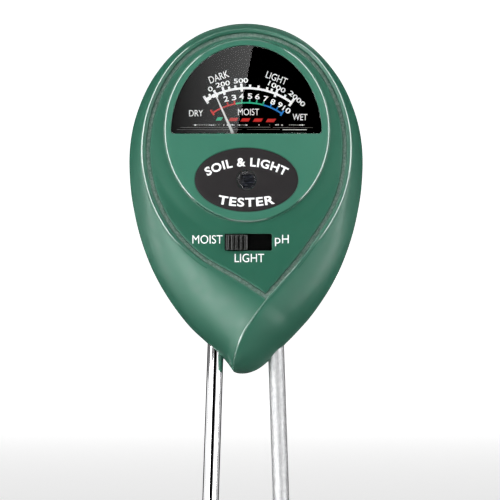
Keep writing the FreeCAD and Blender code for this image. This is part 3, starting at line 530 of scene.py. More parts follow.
def lobe_rows(outer, inner, kind):
    """rows of points from the channel's edge out to the outline"""
    N = len(inner)
    W = np.linalg.norm(outer - inner, axis=1)
    dirv = (outer - inner) / W[:, None]
    z = inner[:, 1]
    if kind == "R":
        wb = ramp01(z, 219.0, 234.0)
        u = np.clip((np.arange(N) - (NBR - 1)) / max(1, N - NBR), 0, 1)
        hc = CREST_H + 0.25 * ramp01(u, 0, 0.2) - 4.6 * u ** 2.5
        hw = 5.6 - 4.3 * ramp01(-z, -238.0, -210.0) - 0.3 * u
    else:
        wb = ramp01(z, 220.5, 233.0)
        u = np.zeros(N)
        hc = np.full(N, CREST_H) - 0.25 * ramp01(-z, -224.0, -214.0)
        hw = 5.6 - 4.3 * ramp01(-z, -238.0, -210.0)
    hw = np.minimum(hw, hc - 1.6)
    dc = 0.95 * wb
    near = [0.0, 0.04, 0.12, 0.22, 0.32, 0.40, 0.55, 0.72, 0.88, 0.95, 1.0, 1.06, 1.13, 1.21, 1.28, 1.50, 1.80]
    scale = np.minimum(1.0, W / 2.4)
    rows = []
    fr = [0.0, 0.06, 0.13, 0.21, 0.30, 0.39, 0.48, 0.57, 0.65, 0.73, 0.80, 0.86, 0.91, 0.945, 0.97, 0.986, 0.996, 1.0]
    dist = [np.array([k * s for s in scale]) for k in near] + [near[-1] * scale + (W - near[-1] * scale) * f for f in fr[1:]]
    for d in dist:
        p = 1.22 + 0.30 * (1 - ramp01(z, 214.0, 240.0))
        fw = 0.27 * wb                                   # width of the narrow facet outside the crest
        t = np.clip((d - dc - fw) / np.maximum(W - dc - fw, 1e-6), 0, 1)
        top = hc - 0.62 * fw
        main = hw + (top - hw) * np.power(np.clip(1 - np.power(t, p), 0, 1), 1 / p)
        facet = hc - 0.62 * np.clip(d - dc, 0, None)
        main = np.where(d <= dc + fw, facet, main)
        bevel = 0.40 * wb * np.clip((dc - d) / np.maximum(dc, 1e-6), 0, 1) ** 1.1
        r = 0.22
        e = np.clip(1 - d / r, 0, 1)
        edge = r * (1 - np.sqrt(np.clip(1 - e * e, 0, 1))) * 0.8 * wb
        iw = (0.44 if kind == "R" else 0.28) * (1 - wb) ** 0.45   # width of the facet along the channel
        edge = edge + 0.66 * np.clip(iw - d, 0, None)
        h = main - bevel - edge
        rows.append([inner + dirv * d[:, None], h])
    return rows, W, hw, hc, u


rowsL, WL, hwL, hcL, _ = lobe_rows(OU_L, IN_L, "L")
rowsR, WR, hwR, hcR, uR = lobe_rows(OU_R, IN_R, "R")

# the left lobe's cross lines bend to follow the overlap at its end, and dip under it
NL = len(IN_L)
S_line = resample(inner_r_full[iT:], n=200)
s_arc = arclen(S_line)
tL = np.arange(NL) / (NL - 1)
sl = arclen(IN_L)
wbend = ramp01(sl, sl[-1] - 16.0, sl[-1]) ** 1.0
for k, (P, h) in enumerate(rowsL):
    frac = np.linalg.norm(P - IN_L, axis=1) / WL
    target = np.column_stack([np.interp(frac * s_arc[-1], s_arc, S_line[:, c]) for c in range(2)])
    chord = IN_L[-1] + (OU_L[-1] - IN_L[-1]) * frac[:, None]
    P += (target - chord) * wbend[:, None]
    uu = frac
    hS = CREST_H + 0.25 * ramp01(uu, 0, 0.2) - 4.6 * uu ** 2.5
    step = 0.05 + 2.3 * uu ** 0.85
    low = hS - step
    w2 = ramp01(sl, sl[-1] - 7.5, sl[-1] - 0.2)
    # near the overlap the surface sinks a little
    rowsL[k] = [P, h * (1 - w2) + np.minimum(h, low) * w2]

# points just past the left lobe's end, 0.9 mm lower
tuck = []
nrm = np.array([0.9, 0.15])
for P, h in rowsL:
    tuck.append(np.array([P[-1][0] + nrm[0] * 0.8, P[-1][1] + nrm[1] * 0.2, h[-1] - 0.9]))

front = Build()
gridL = [with_h(P, h) for P, h in rowsL]
gridR = [with_h(P, h) for P, h in rowsR]


def wall_rows(outer, hw, n=5):
    rows = []
    for k in range(1, n + 1):
        f = k / n
        rows.append(with_h(outer, hw * (1 - f)))
    return rows


gL = gridL + wall_rows(OU_L, hwL)
gR = gridR + wall_rows(OU_R, hwR)


def lobe_grid(g, kind):
    N = len(g[0])
    base = len(front.v)
    for r in g:
        for p in r:
            front.v.append((p[0] * MM, -p[2] * MM, p[1] * MM))
    for i in range(len(g) - 1):
        for j in range(N - 1):
            z = g[i][j][1]
            crest = 9 <= i < 14
            inner = i < 5
            k = 0
            if crest and z > 222.0:
                k = 3
            if kind == "R" and inner and z < 232.0:
                k = 3
            front.f.append((base + i * N + j, base + i * N + j + 1, base + (i + 1) * N + j + 1, base + (i + 1) * N + j))
            front.m.append(k)


lobe_grid(gL, "L")
lobe_grid(gR, "R")
# the wall of the overlap: from the right lobe's edge down past the left lobe
s_top = gridR[0][NBR - 1:]
s_rows = [s_top]
fr_s = np.linspace(0, 1, len(s_top))
left_end = np.array([g[-1] for g in gridL])            # left lobe's last cross line, inner to outer
le_arc = arclen(left_end[:, :2])
low_pts = np.column_stack([np.interp(fr_s * le_arc[-1], le_arc, left_end[:, c]) for c in range(3)])
for f in (0.25, 0.5, 0.75, 1.0):
    r = s_top.copy()
    r[:, 2] = s_top[:, 2] * (1 - f) + (low_pts[:, 2] - 0.02) * f
    r[:, 0] = s_top[:, 0] * (1 - f) + low_pts[:, 0] * f - 0.0
    r[:, 1] = s_top[:, 1] * (1 - f) + low_pts[:, 1] * f
    s_rows.append(r)
front.grid(s_rows)

# ------------------------------------------------------------------ channel round the panel
ring_B = np.vstack([IN_L, BR_part[::-1][1:-1]])          # closed, from the top down the left to the point and up the right
edge_h = np.concatenate([gridL[0][:, 2], gridR[0][:NBR][::-1][1:-1, 2]])
nB = len(ring_B)
iTip = len(IN_L) - 1


def inner_ring(d):
    """the ring moved inwards by d, kept in step with ring_B, with its point mitred"""
    Lp = resample(B_L, step=0.2)
    Rp = resample(inner_r_full[:iT + 1], step=0.2)
    out = []
    for P, sgn in ((Lp, 1), (Rp, -1)):
        t = np.gradient(P, axis=0)
        t /= np.linalg.norm(t, axis=1)[:, None]
        n = np.column_stack([-t[:, 1], t[:, 0]]) * sgn
        out.append(P + n * d)
    a, b2 = out
    # trim where the two sides cross near the point
    best = None
    for i in range(len(a) - 1, len(a) // 2, -1):
        dd = np.linalg.norm(b2[len(b2) // 2:] - a[i], axis=1)
        j = int(np.argmin(dd))
        if best is None or dd[j] < best[0]:
            best = (dd[j], i, j + len(b2) // 2)
        if best and best[0] < 0.12 and dd[j] > best[0] + 1.0:
            break
    _, i, j = best
    a, b2 = a[:i + 1], b2[:j + 1]
    tip = (a[-1] + b2[-1]) / 2
    a[-1] = tip
    b2[-1] = tip
    top = (a[0] + b2[0]) / 2
    a[0] = top
    b2[0] = top
    A = resample(a, n=len(IN_L))
    Bq = resample(b2, n=NBR)
    return np.vstack([A, Bq[::-1][1:-1]])


r_floor0, r_floor1, r_edge0, r_edge1 = inner_ring(0.12), inner_ring(1.14), inner_ring(1.24), inner_ring(1.42)
FLOOR = 9.55
w_rows = [with_h(ring_B, edge_h)]
w_rows.append(with_h(ring_B + (r_floor0 - ring_B) * 0.35, edge_h * 0.55 + FLOOR * 0.45))
w_rows.append(with_h(ring_B + (r_floor0 - ring_B) * 0.85, FLOOR + 0.06))
w_rows.append(with_h(r_floor0 + (r_floor1 - r_floor0) * 0.06, FLOOR))
front.grid(w_rows, closed=True)
f_rows = [w_rows[-1]]
for f in (0.25, 0.5, 0.75, 0.94):
    f_rows.append(with_h(r_floor0 + (r_floor1 - r_floor0) * f, FLOOR))
front.grid(f_rows, closed=True, mat=1)
ph = panel_h(r_edge1[:, 0], r_edge1[:, 1])
p_rows = [f_rows[-1], with_h(r_floor1, FLOOR + 0.06)]
p_rows.append(with_h(r_edge0, ph * 0.5 + FLOOR * 0.5))
p_rows.append(with_h(r_edge0 + (r_edge1 - r_edge0) * 0.12, ph - 0.16))
p_rows.append(with_h(r_edge0 + (r_edge1 - r_edge0) * 0.45, ph - 0.045))
p_rows.append(with_h(r_edge1, ph))
front.grid(p_rows, closed=True)

# ------------------------------------------------------------------ plateau, panel, openings


def ellipse_loop(c, grow=0.0, n=300):
    a = np.linspace(0, 2 * math.pi, n, endpoint=False)
    return np.column_stack([c[0] + (c[2] + grow) * np.cos(a), c[1] + (c[3] + grow) * np.sin(a)])


def half_oval_loop(c, grow=0.0, corner=0.7, n=260):
    """half oval with a flat foot and small rounded corners"""
    a = np.linspace(0, math.pi, 400)
    arc = np.column_stack([c[0] + (c[2] + grow) * np.cos(a), c[1] - grow + (c[3] + 2 * grow) * np.sin(a)])
    r = corner
    L, Rr = arc[-1], arc[0]
    pts = [p for p in arc if p[1] > c[1] - grow + r]
    for k in range(7):
        t = math.pi / 2 * k / 6
        pts.append((L[0] + r - r * math.cos(t), c[1] - grow + r - r * math.sin(t)))
    m = 80
    for k in range(1, m):
        pts.append((L[0] + r + (Rr[0] - L[0] - 2 * r) * k / m, c[1] - grow))
    for k in range(7):
        t = math.pi / 2 * k / 6
        pts.append((Rr[0] - r + r * math.sin(t), c[1] - grow + r - r * math.cos(t)))
    P = np.array(pts)
    P = np.vstack([P, P[:1]])
    return resample(P, n=n + 1)[:-1]


def rounded_box_loop(x0, x1, z0, z1, r, n=120):
    pts = []
    for cx, cz, a0 in ((x1 - r, z1 - r, 0), (x0 + r, z1 - r, 90), (x0 + r, z0 + r, 180), (x1 - r, z0 + r, 270)):
        for k in range(6):
            t = math.radians(a0 + 90 * k / 5)
            pts.append((cx + r * math.cos(t), cz + r * math.sin(t)))
    P = np.array(pts + pts[:1])
    return resample(P, n=n + 1)[:-1]


INNER_H = 8.75
E_base = ellipse_loop(PLATEAU, 0.30)
E_foot = ellipse_loop(PLATEAU, 0.06)
win = half_oval_loop(WINDOW)
lab = ellipse_loop((LABEL[0], LABEL[1], LABEL[2] + 0.05, LABEL[3] + 0.05), 0.0, 200)
sen = ellipse_loop((LABEL[0], LABEL[1], SENSOR_R, SENSOR_R), 0.0, 72)
slot = rounded_box_loop(*SLOT, 0.25)

# panel between the channel and the plateau, in the darker copy of the case green: painted shade
slot_out = offset(slot, 0.16)
pp, tt = fill(r_edge1, [E_base, slot_out], panel_h, 1.0)
front.tris(pp, tt, mat=4)
# plateau's rounded side
bh = panel_h(E_base[:, 0], E_base[:, 1])
top0 = ellipse_loop(PLATEAU, -0.45)
th = plateau_h(top0[:, 0], top0[:, 1])
rows = [with_h(E_base, bh), with_h(ellipse_loop(PLATEAU, 0.14), bh + 0.05), with_h(E_foot, bh + 0.16)]
for ins, drop in [(0.0, 0.45), (0.015, 0.35), (0.04, 0.275), (0.075, 0.222), (0.10, 0.2026), (0.39, 0.0224), (0.415, 0.009), (0.45, 0.0)]:
    rows.append(with_h(ellipse_loop(PLATEAU, -ins), th - drop))
front.grid(rows[3:], closed=True, mat=3)
front.grid(rows[:4], closed=True)
# plateau's face, in the lighter copy of the case green: painted light
win_out, lab_out = offset(win, 0.22), offset(lab, 0.14)
pp, tt = fill(top0, [win_out, lab_out], plateau_h, 1.0)
front.tris(pp, tt, mat=2)


def lip(loop, out_d, hfun, bottom, n=4, walls=3):
    """rounded lip and wall going in, from a loop moved outwards by out_d down to the height bottom"""
    rows = []
    for k in range(n + 1):
        a = math.pi / 2 * k / n
        P = offset(loop, out_d * (1 - math.sin(a)))
        rows.append(with_h(P, hfun(P[:, 0], P[:, 1]) - out_d * (1 - math.cos(a))))
    h1 = rows[-1][:, 2]
    for k in range(1, walls + 1):
        rows.append(with_h(loop, h1 + (bottom - h1) * k / walls))
    return rows


# the window's lip is in the lighter copy of the case green too: painted light
front.grid(lip(win, 0.22, plateau_h, INNER_H), closed=True, mat=2)
front.grid(lip(slot, 0.16, panel_h, INNER_H), closed=True)
lab_rows = lip(lab, 0.14, plateau_h, 11.55, walls=2)
front.grid(lab_rows, closed=True)
pp, tt = fill(lab, [sen], lambda x, z: np.full(len(x), 11.55), 1.4)
front.tris(pp, tt)
front.grid([with_h(sen, 11.55), with_h(sen, 10.0), with_h(sen, INNER_H)], closed=True)
# inside face and rim
back_ring = ring_B + (inner_ring(0.6) - ring_B)
pp, tt = fill(back_ring, [win, sen, slot], lambda x, z: np.full(len(x), INNER_H), 2.2)
front.tris(pp, tt)
out_loop = np.vstack([OU_L, OU_R[::-1][1:-1]])
n_in = loop_normals(out_loop)
if area2(out_loop) < 0:
    n_in = -n_in
rim_in = out_loop + n_in * 1.5
tipz = back_ring[iTip]
back_L = back_ring[:iTip + 1]
back_R = np.vstack([back_ring[iTip:][::-1][:NBR - 1], np.repeat(tipz[None], len(OU_R) - NBR + 1, axis=0)])
back_R = np.vstack([back_L[:1], back_ring[iTip:][::-1]])
back_R = np.vstack([back_R, np.repeat(tipz[None], len(OU_R) - len(back_R), axis=0)])
back_loop = np.vstack([back_L, back_R[::-1][1:-1]])
rows = [with_h(out_loop, 0.0), with_h(rim_in, 0.0)]
for f in (0.33, 0.66, 1.0):
    rows.append(with_h(rim_in * (1 - f) + back_loop * f, INNER_H * f))
front.grid(rows, closed=True)
front_o = front.object("front_cover_shell", ["case_green", "case_green_grain", "case_green_painted_light", "case_green_worn", "case_green_painted_shade"])
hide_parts("front_cover")
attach(front_o, "case")
# ------------------------------------------------------------------ rear cover
SCREWS = [(-24.3, 268.0), (24.3, 268.0), (-15.5, 216.0), (15.5, 216.0)]
DOME = [(1.0, 0.0), (0.996, 4.5), (0.982, 9.5), (0.94, 14.2), (0.85, 18.0), (0.69, 20.7), (0.47, 21.8)]
DC = np.array([0.2, 250.0])
loop_r = resample(np.vstack([out_loop, out_loop[:1]]), step=0.9)[:-1]
if area2(loop_r) < 0:
    loop_r = loop_r[::-1]


def relax(P, n):
    for _ in range(n):
        P = 0.5 * P + 0.25 * (np.roll(P, 1, axis=0) + np.roll(P, -1, axis=0))
    return P


loop_s = relax(loop_r, 3)


def simple_mesh(name, V, F):
    me = bpy.data.meshes.new(name)
    me.from_pydata([(x * MM, -h * MM, z * MM) for x, z, h in V], [], F)
    bm = bmesh.new()
    bm.from_mesh(me)
    bmesh.ops.remove_doubles(bm, verts=bm.verts, dist=1e-7)
    bmesh.ops.recalc_face_normals(bm, faces=bm.faces)
    bm.to_mesh(me)
    bm.free()
    o = bpy.data.objects.new(name, me)
    bpy.context.scene.collection.objects.link(o)
    return o


def dome_solid(name, shrink, depth_cut, y0, lipped):
    """closed dome; shrink mm inside the outline, its back depth_cut mm further in"""
    fs = np.array([d[0] for d in DOME])
    ys = np.array([d[1] for d in DOME])
    prof = catmull(np.column_stack([fs * 30, ys]), 0.9)
    V, F = [], []
    N = len(loop_s)
    rows = []
    base = offset(loop_s, -shrink) if shrink else loop_s
    if lipped:
        for dx, y in ((0.0, y0), (0.10, y0 + 0.08), (0.12, y0 + 0.25), (0.12, y0 + 1.0), (0.0, y0 + 1.15)):
            rows.append((offset(base, dx), y))
        start = y0 + 1.3
    else:
        rows.append((base, y0))
        start = y0 + 0.3
    for f, y in prof:
        if y < start:
            continue
        rows.append((DC + (base - DC) * (f / 30.0), y - depth_cut * min(1.0, y / 12.0)))
    last_f, last_y = prof[-1][0] / 30.0, DOME[-1][1] - depth_cut
    for k in (0.85, 0.68, 0.5, 0.32, 0.14):
        rows.append((DC + (base - DC) * last_f * k, last_y))
    for P, y in rows:
        V += [(p[0], p[1], -y) for p in P]
    R = len(rows)
    for i in range(R - 1):
        for j in range(N):
            F.append((i * N + j, i * N + (j + 1) % N, (i + 1) * N + (j + 1) % N, (i + 1) * N + j))
    c = len(V)
    V.append((DC[0], DC[1], -last_y))
    F += [((R - 1) * N + j, (R - 1) * N + (j + 1) % N, c) for j in range(N)]
    c2 = len(V)
    V.append((DC[0], 225.0, -y0))
    F += [((j + 1) % N, j, c2) for j in range(N)]
    return simple_mesh(name, V, F)


def rods(name, spec, n=48):
    V, F = [], []
    for x, z, r, ya, yb in spec:
        b0 = len(V)
        for y in (ya, yb):
            V += [(x + r * math.cos(2 * math.pi * k / n), z + r * math.sin(2 * math.pi * k / n), -y) for k in range(n)]
        F += [(b0 + k, b0 + (k + 1) % n, b0 + n + (k + 1) % n, b0 + n + k) for k in range(n)]
        F.append(tuple(b0 + k for k in range(n))[::-1])
        F.append(tuple(b0 + n + k for k in range(n)))
    return simple_mesh(name, V, F)


def boolean(a, b, op):
    md = a.modifiers.new("b", "BOOLEAN")
    md.operation = op
    md.object = b
    md.solver = "EXACT"
    bpy.context.view_layer.update()
    dg = bpy.context.evaluated_depsgraph_get()
    me = bpy.data.meshes.new_from_object(a.evaluated_get(dg))
    a.modifiers.clear()
    old = a.data
    a.data = me
    bpy.data.meshes.remove(old)
    bpy.data.objects.remove(b)
    return a


outer_s = dome_solid("rear_cover_shell", 0.0, 0.0, 0.0, True)
cavity = dome_solid("cavity", 1.6, 1.6, -0.4, False)
cavity = boolean(cavity, rods("boss", [(x, z, 3.6, -1.0, 24.0) for x, z in SCREWS]), "DIFFERENCE")
rear_o = boolean(outer_s, cavity, "DIFFERENCE")
rear_o = boolean(rear_o, rods("wells", [(x, z, 2.3, 6.0, 25.0) for x, z in SCREWS]), "DIFFERENCE")
rear_o = boolean(rear_o, rods("bores", [(x, z, 1.3, -2.0, 7.0) for x, z in SCREWS], 32), "DIFFERENCE")
rear_o.data.materials.clear()
rear_o.data.materials.append(MATS["case_green"])
bm = bmesh.new()
bm.from_mesh(rear_o.data)
# soften the rims of the wells
rim = []
for e in bm.edges:
    if len(e.link_faces) == 2 and e.calc_face_angle(0) > math.radians(40):
        mid = (e.verts[0].co + e.verts[1].co) / 2
        if mid.y > 0.0065 and any(abs(math.hypot(mid.x / MM - x, mid.z / MM - z) - 2.3) < 0.12 for x, z in SCREWS):
            rim.append(e)
if rim:
    bmesh.ops.bevel(bm, geom=rim, offset=0.00022, segments=3, profile=0.5, affect="EDGES")
bm.to_mesh(rear_o.data)
print("rear open edges", sum(1 for e in bm.edges if not e.is_manifold), "faces", len(bm.faces))
bm.free()
for p in rear_o.data.polygons:
    p.use_smooth = True
rear_o.data.set_sharp_from_angle(angle=math.radians(35))
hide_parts("rear_cover")
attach(rear_o, "case")

# ------------------------------------------------------------------ window pane


def pane_h(x, z):
    return np.full(np.shape(x), 11.56)


pane = Build()
pw = half_oval_loop(WINDOW, -0.10, 0.6)
pw_t = offset(pw, -0.12)
pp, tt = fill(pw_t, [], pane_h, 1.4)
pane.tris(pp, tt)
pane.grid([with_h(pw_t, pane_h(pw_t[:, 0], pw_t[:, 1])), with_h(offset(pw, -0.035), pane_h(pw[:, 0], pw[:, 1]) - 0.035),
           with_h(pw, pane_h(pw[:, 0], pw[:, 1]) - 0.13), with_h(pw, 10.6), with_h(pw, 10.0)], closed=True)
pp, tt = fill(pw, [], lambda x, z: np.full(len(x), 10.0), 1.4)
pane.tris(pp, tt)
pane_o = pane.object("window_pane", ["window_clear"], angle=4)
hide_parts("window_lens")
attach(pane_o, "case")

# ------------------------------------------------------------------ badge round the light sensor
badge = Build()
bl = ellipse_loop((LABEL[0], LABEL[1], LABEL[2] - 0.04, LABEL[3] - 0.04), 0.0, 220)
bs = ellipse_loop((LABEL[0], LABEL[1], SENSOR_R + 0.02, SENSOR_R + 0.02), 0.0, 72)


def badge_h(x, z):
    return plateau_h(x, z) - 0.035


bt, st = offset(bl, -0.14), offset(bs, 0.16)
pp, tt = fill(bt, [st], badge_h, 0.9)
badge.tris(pp, tt)
hb = badge_h(bt[:, 0], bt[:, 1])
badge.grid([with_h(bt, hb), with_h(offset(bl, -0.04), hb - 0.04), with_h(bl, hb - 0.14), with_h(bl, 11.52)], closed=True)
hs = badge_h(st[:, 0], st[:, 1])
badge.grid([with_h(st, hs), with_h(offset(bs, 0.05), hs - 0.05), with_h(bs, hs - 0.16), with_h(bs, 11.52)], closed=True)
pp, tt = fill(bl, [bs], lambda x, z: np.full(len(x), 11.52), 1.6)
badge.tris(pp, tt)
badge_o = badge.object("badge_plate", ["label_black"])
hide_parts("label_plate")
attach(badge_o, "case")


def revolve(b, prof, cx, cz, n=72, mat=0):
    """prof: (radius, height) pairs about the viewing axis"""
    rows = []
    a = np.linspace(0, 2 * math.pi, n, endpoint=False)
    for r, h in prof:
        rr = max(r, 1e-5)
        rows.append(np.column_stack([cx + rr * np.cos(a), cz + rr * np.sin(a), np.full(n, h)]))
    b.grid(rows, closed=True, mat=mat)


lens = Build()
rad = 2.62
prof = [(0.0, 10.75), (1.2, 10.75), (rad - 0.1, 10.75), (rad, 10.80), (rad, 11.30)]
# bevelled rim round a nearly flat face
prof += [(rad, 11.46), (rad - 0.02, 11.49), (rad - 0.05, 11.5086), (rad - 0.39, 11.7194), (rad - 0.42, 11.735),
         (rad - 0.47, 11.745), (1.6, 11.755), (1.0, 11.76), (0.4, 11.765), (0.0, 11.765)]
revolve(lens, prof, LABEL[0], LABEL[1])
lens_o = lens.object("sensor_dome", ["lens_clear"])
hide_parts("sensor_lens")
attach(lens_o, "case")

# ------------------------------------------------------------------ sliding knob with its dust shield
KX0, KX1, KZ0, KZ1 = -5.65, 0.45, 229.04 - 2.15, 229.04 + 2.15
xs = np.linspace(KX0, KX1, 170)
zs = np.concatenate([[KZ0, KZ0 + 0.03, KZ0 + 0.08, KZ0 + 0.15, KZ0 + 0.24], np.linspace(KZ0 + 0.34, KZ1 - 0.34, 24),
                     [KZ1 - 0.24, KZ1 - 0.15, KZ1 - 0.08, KZ1 - 0.03, KZ1]])
pitch, first = 1.22, KX0 + 0.60


def knob_top(x, z):
    d = np.abs((x - first + pitch / 2) % pitch - pitch / 2)
    inrange = (x > first - pitch / 2) & (x < first + 4.5 * pitch)
    # flat crown, a narrow chamfer each side, then the steep flank
    chamfer = 0.62 * np.clip(d - 0.15, 0, 0.12)
    t = np.clip((0.37 - d) / 0.10, 0, 1)
    rib = (0.85 - chamfer) * t * inrange
    h = 11.10 + rib
    ex = np.minimum(x - KX0, KX1 - x)
    ez = np.minimum(z - KZ0, KZ1 - z)
    r = 0.26
    for e in (ex, ez):
        q = np.clip(1 - e / r, 0, 1)
        h = h - r * (1 - np.sqrt(np.clip(1 - q * q, 0, 1)))
    return h


knob = Build()
rows = []
for z in zs:
    rows.append(np.column_stack([xs, np.full(len(xs), z), knob_top(xs, np.full(len(xs), z))]))
knob.grid(rows)
top_loop = [(x, KZ0) for x in xs] + [(KX1, z) for z in zs[1:]] + [(x, KZ1) for x in xs[::-1][1:]] + [(KX0, z) for z in zs[::-1][1:-1]]
tl = np.array(top_loop)
th = knob_top(tl[:, 0], tl[:, 1])
knob.grid([with_h(tl, th), with_h(tl, th * 0.5 + 4.3), with_h(tl, 8.64)], closed=True)
# the shield is in the near-black material: painted shade inside the slot
shield = rounded_box_loop(KX0 - 6.7, KX1 + 7.0, KZ0 - 0.45, KZ1 + 0.45, 0.5, 160)
pp, tt = fill(shield, [tl], lambda x, z: np.full(len(x), 8.64), 1.2)
knob.tris(pp, tt, mat=1)
knob.grid([with_h(shield, 8.64), with_h(shield, 8.46)], closed=True, mat=1)
pp, tt = fill(shield, [], lambda x, z: np.full(len(x), 8.46), 1.6)
knob.tris(pp, tt, mat=1)
knob_o = knob.object("mode_knob_cap", ["knob_black", "shield_painted_shade"], angle=50)
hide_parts("switch_knob")
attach(knob_o, "mode_knob")

# ------------------------------------------------------------------ probes
for side, name, mt in ((-1, "probe_left", "bright_plate"), (1, "probe_right", "matt_alloy")):
    lean = math.radians(1.9)
    ax = np.array([side * -math.sin(lean), 0.0, math.cos(lean)])       # up the rod
    base = np.array([side * 8.4 + (-0.12 if side < 0 else 0.0), 0.0, 199.0])
    top = base + ax * ((224.0 - 199.0) / math.cos(lean))
    bot = base - ax * (199.0 / math.cos(lean))
    lo_z = 0.10
    bot = base - ax * ((199.0 - lo_z) / math.cos(lean))
    L = np.linalg.norm(top - bot)
    neck = (191.5 - lo_z) / math.cos(lean)
    prof = [(0.0, 0.0), (0.12, 0.01), (0.22, 0.06), (0.30, 0.16), (0.40, 0.42)]
    for k in range(1, 12):
        t = k / 11
        prof.append((0.40 + 1.90 * t - 0.10 * math.sin(math.pi * t) * (1 - t), 0.42 + 8.4 * t))
    prof += [(2.3, 9.0), (2.3, 9.2), (2.3, 40), (2.3, 80), (2.3, 120), (2.3, 160), (2.3, neck), (2.3, neck + 5), (2.29, neck + 9), (2.22, neck + 14), (2.0, L - 4.0), (2.0, L - 0.3), (1.7, L), (0.0, L)]
    e1 = np.array([ax[2], 0, -ax[0]])
    e2 = np.array([0, -1.0, 0])
    b = Build()
    n = 96
    a = np.linspace(0, 2 * math.pi, n, endpoint=False)
    rows = []
    for r, s in prof:
        r = max(r, 1e-5)
        P = bot + ax * s + r * (np.cos(a)[:, None] * e1 + np.sin(a)[:, None] * e2)
        rows.append(np.column_stack([P[:, 0], P[:, 2], -P[:, 1]]))
    b.grid(rows, closed=True)
    o = b.object(name + "_rod", [mt], angle=30)
    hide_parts(name)
    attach(o, "case")

# ------------------------------------------------------------------ printed marks


def glyphs(b, text, cap, pos, rot=0.0, h=6.65, thick=0.03, bold=0.0, squeeze=1.0, width=None, bend=None, mat=0, space=1.0):
    cu = bpy.data.curves.new("t", "FONT")
    cu.body = text
    cu.align_x = "CENTER"
    cu.size = cap / 0.70
    cu.offset = bold
    cu.space_character = space
    cu.extrude = thick / 2
    cu.resolution_u = 5
    o = bpy.data.objects.new("t", cu)
    bpy.context.scene.collection.objects.link(o)
    bpy.context.view_layer.update()
    me = bpy.data.meshes.new_from_object(o.evaluated_get(bpy.context.evaluated_depsgraph_get()))
    bpy.data.objects.remove(o)
    V = np.array([v.co[:] for v in me.vertices])
    F = [tuple(p.vertices) for p in me.polygons]
    cx = (V[:, 0].min() + V[:, 0].max()) / 2
    cy = (V[:, 1].min() + V[:, 1].max()) / 2
    V[:, 0] -= cx
    V[:, 1] -= cy
    sy = cap / (V[:, 1].max() - V[:, 1].min()) if not any(ch in "gjpqy" for ch in text) else 1.0
    V[:, 1] *= sy
    sx = squeeze
    if width:
        sx = width / (V[:, 0].max() - V[:, 0].min())
    V[:, 0] *= sx
    if bend:
        R, up = bend
        if up:
            a = V[:, 0] / R
            X, Z = (R + V[:, 1]) * np.sin(a), (R + V[:, 1]) * np.cos(a) - R
        else:
            a = V[:, 0] / R
            X, Z = (R - V[:, 1]) * np.sin(a), R - (R - V[:, 1]) * np.cos(a)
        V[:, 0], V[:, 1] = X, Z
    t = math.radians(rot)
    X = pos[0] + V[:, 0] * math.cos(t) - V[:, 1] * math.sin(t)
    Z = pos[1] + V[:, 0] * math.sin(t) + V[:, 1] * math.cos(t)
    H = (h(X, Z) if callable(h) else h) + V[:, 2]
    base = len(b.v)
    for x, z, hh in zip(X, Z, H if np.ndim(H) else np.full(len(X), H)):
        b.v.append((x * MM, -hh * MM, z * MM))
    for f in F:
        b.f.append(tuple(base + k for k in f))
        b.m.append(mat)
    bpy.data.meshes.remove(me)
    bpy.data.curves.remove(cu)


def prism(b, pts, h0, h1, mat=0):
    base = len(b.v)
    n = len(pts)
    for h in (h0, h1):
        for x, z in pts:
            hh = h
            b.v.append((x * MM, -hh * MM, z * MM))
    b.f.append(tuple(base + n + k for k in range(n)))
    b.f.append(tuple(base + k for k in range(n))[::-1])
    b.m += [mat, mat]
    for k in range(n):
        b.f.append((base + k, base + (k + 1) % n, base + n + (k + 1) % n, base + n + k))
        b.m.append(mat)


PV = (0.22, 250.70)
H0, H1 = 6.605, 6.66


def arc_band(b, R, w, a0, a1, mat=0, n=60):
    A = np.radians(np.linspace(a0, a1, n))
    top, bot = [], []
    for a in A:
        top.append((PV[0] + (R + w / 2) * math.sin(a), PV[1] + (R + w / 2) * math.cos(a)))
        bot.append((PV[0] + (R - w / 2) * math.sin(a), PV[1] + (R - w / 2) * math.cos(a)))
    rows = []
    for P, h in ((bot, H0), (bot, H1), (top, H1), (top, H0), (bot, H0)):
        rows.append(with_h(np.array(P), h))
    b.grid(rows, mat=mat)
    for i in (0, -1):
        q = [(bot[i], H0), (bot[i], H1), (top[i], H1), (top[i], H0)]
        base = len(b.v)
        for (x, z), h in q:
            b.v.append((x * MM, -h * MM, z * MM))
        b.f.append((base, base + 1, base + 2, base + 3))
        b.m.append(mat)


def tick(b, R0, R1, a, w, mat=0, lean=0.0):
    a = math.radians(a)
    u = (math.sin(a + math.radians(lean)), math.cos(a + math.radians(lean)))
    t = (u[1], -u[0])
    c0 = (PV[0] + R0 * math.sin(a), PV[1] + R0 * math.cos(a))
    c1 = (c0[0] + u[0] * (R1 - R0), c0[1] + u[1] * (R1 - R0))
    prism(b, [(c0[0] + t[0] * w / 2, c0[1] + t[1] * w / 2), (c1[0] + t[0] * w / 2, c1[1] + t[1] * w / 2),
              (c1[0] - t[0] * w / 2, c1[1] - t[1] * w / 2), (c0[0] - t[0] * w / 2, c0[1] - t[1] * w / 2)], H0, H1, mat)


pr = Build()
# light scale
arc_band(pr, 21.25, 0.62, -32.4, 36.0)
for a in (-28.2, -13.0, -8.4, 2.4, 8.6, 15.0, 18.5, 29.2):
    tick(pr, 21.3, 22.25, a, 0.62)
for a in (-23.9, -17.5, -3.9, 22.3):
    tick(pr, 20.35, 22.6, a, 0.66)
for a in (-32.2, 35.8):
    tick(pr, 20.1, 22.5, a, 0.70)
tick(pr, 20.7, 21.7, -30.2, 1.3)
tick(pr, 20.7, 21.7, -24.6, 1.6)
glyphs(pr, "DARK", 1.95, (-7.58, 275.1), 20, width=5.7, bold=0.016)
glyphs(pr, "LIGHT", 1.95, (8.52, 274.77), -21, width=6.1, bold=0.016)
glyphs(pr, "DRY", 1.75, (-13.9, 264.99), 1, width=3.9, bold=0.016)
glyphs(pr, "WET", 1.75, (15.01, 263.9), -1, width=4.1, bold=0.016)
glyphs(pr, "MOIST", 1.85, (0.7, 265.32), 0, width=5.9, bold=0.0)
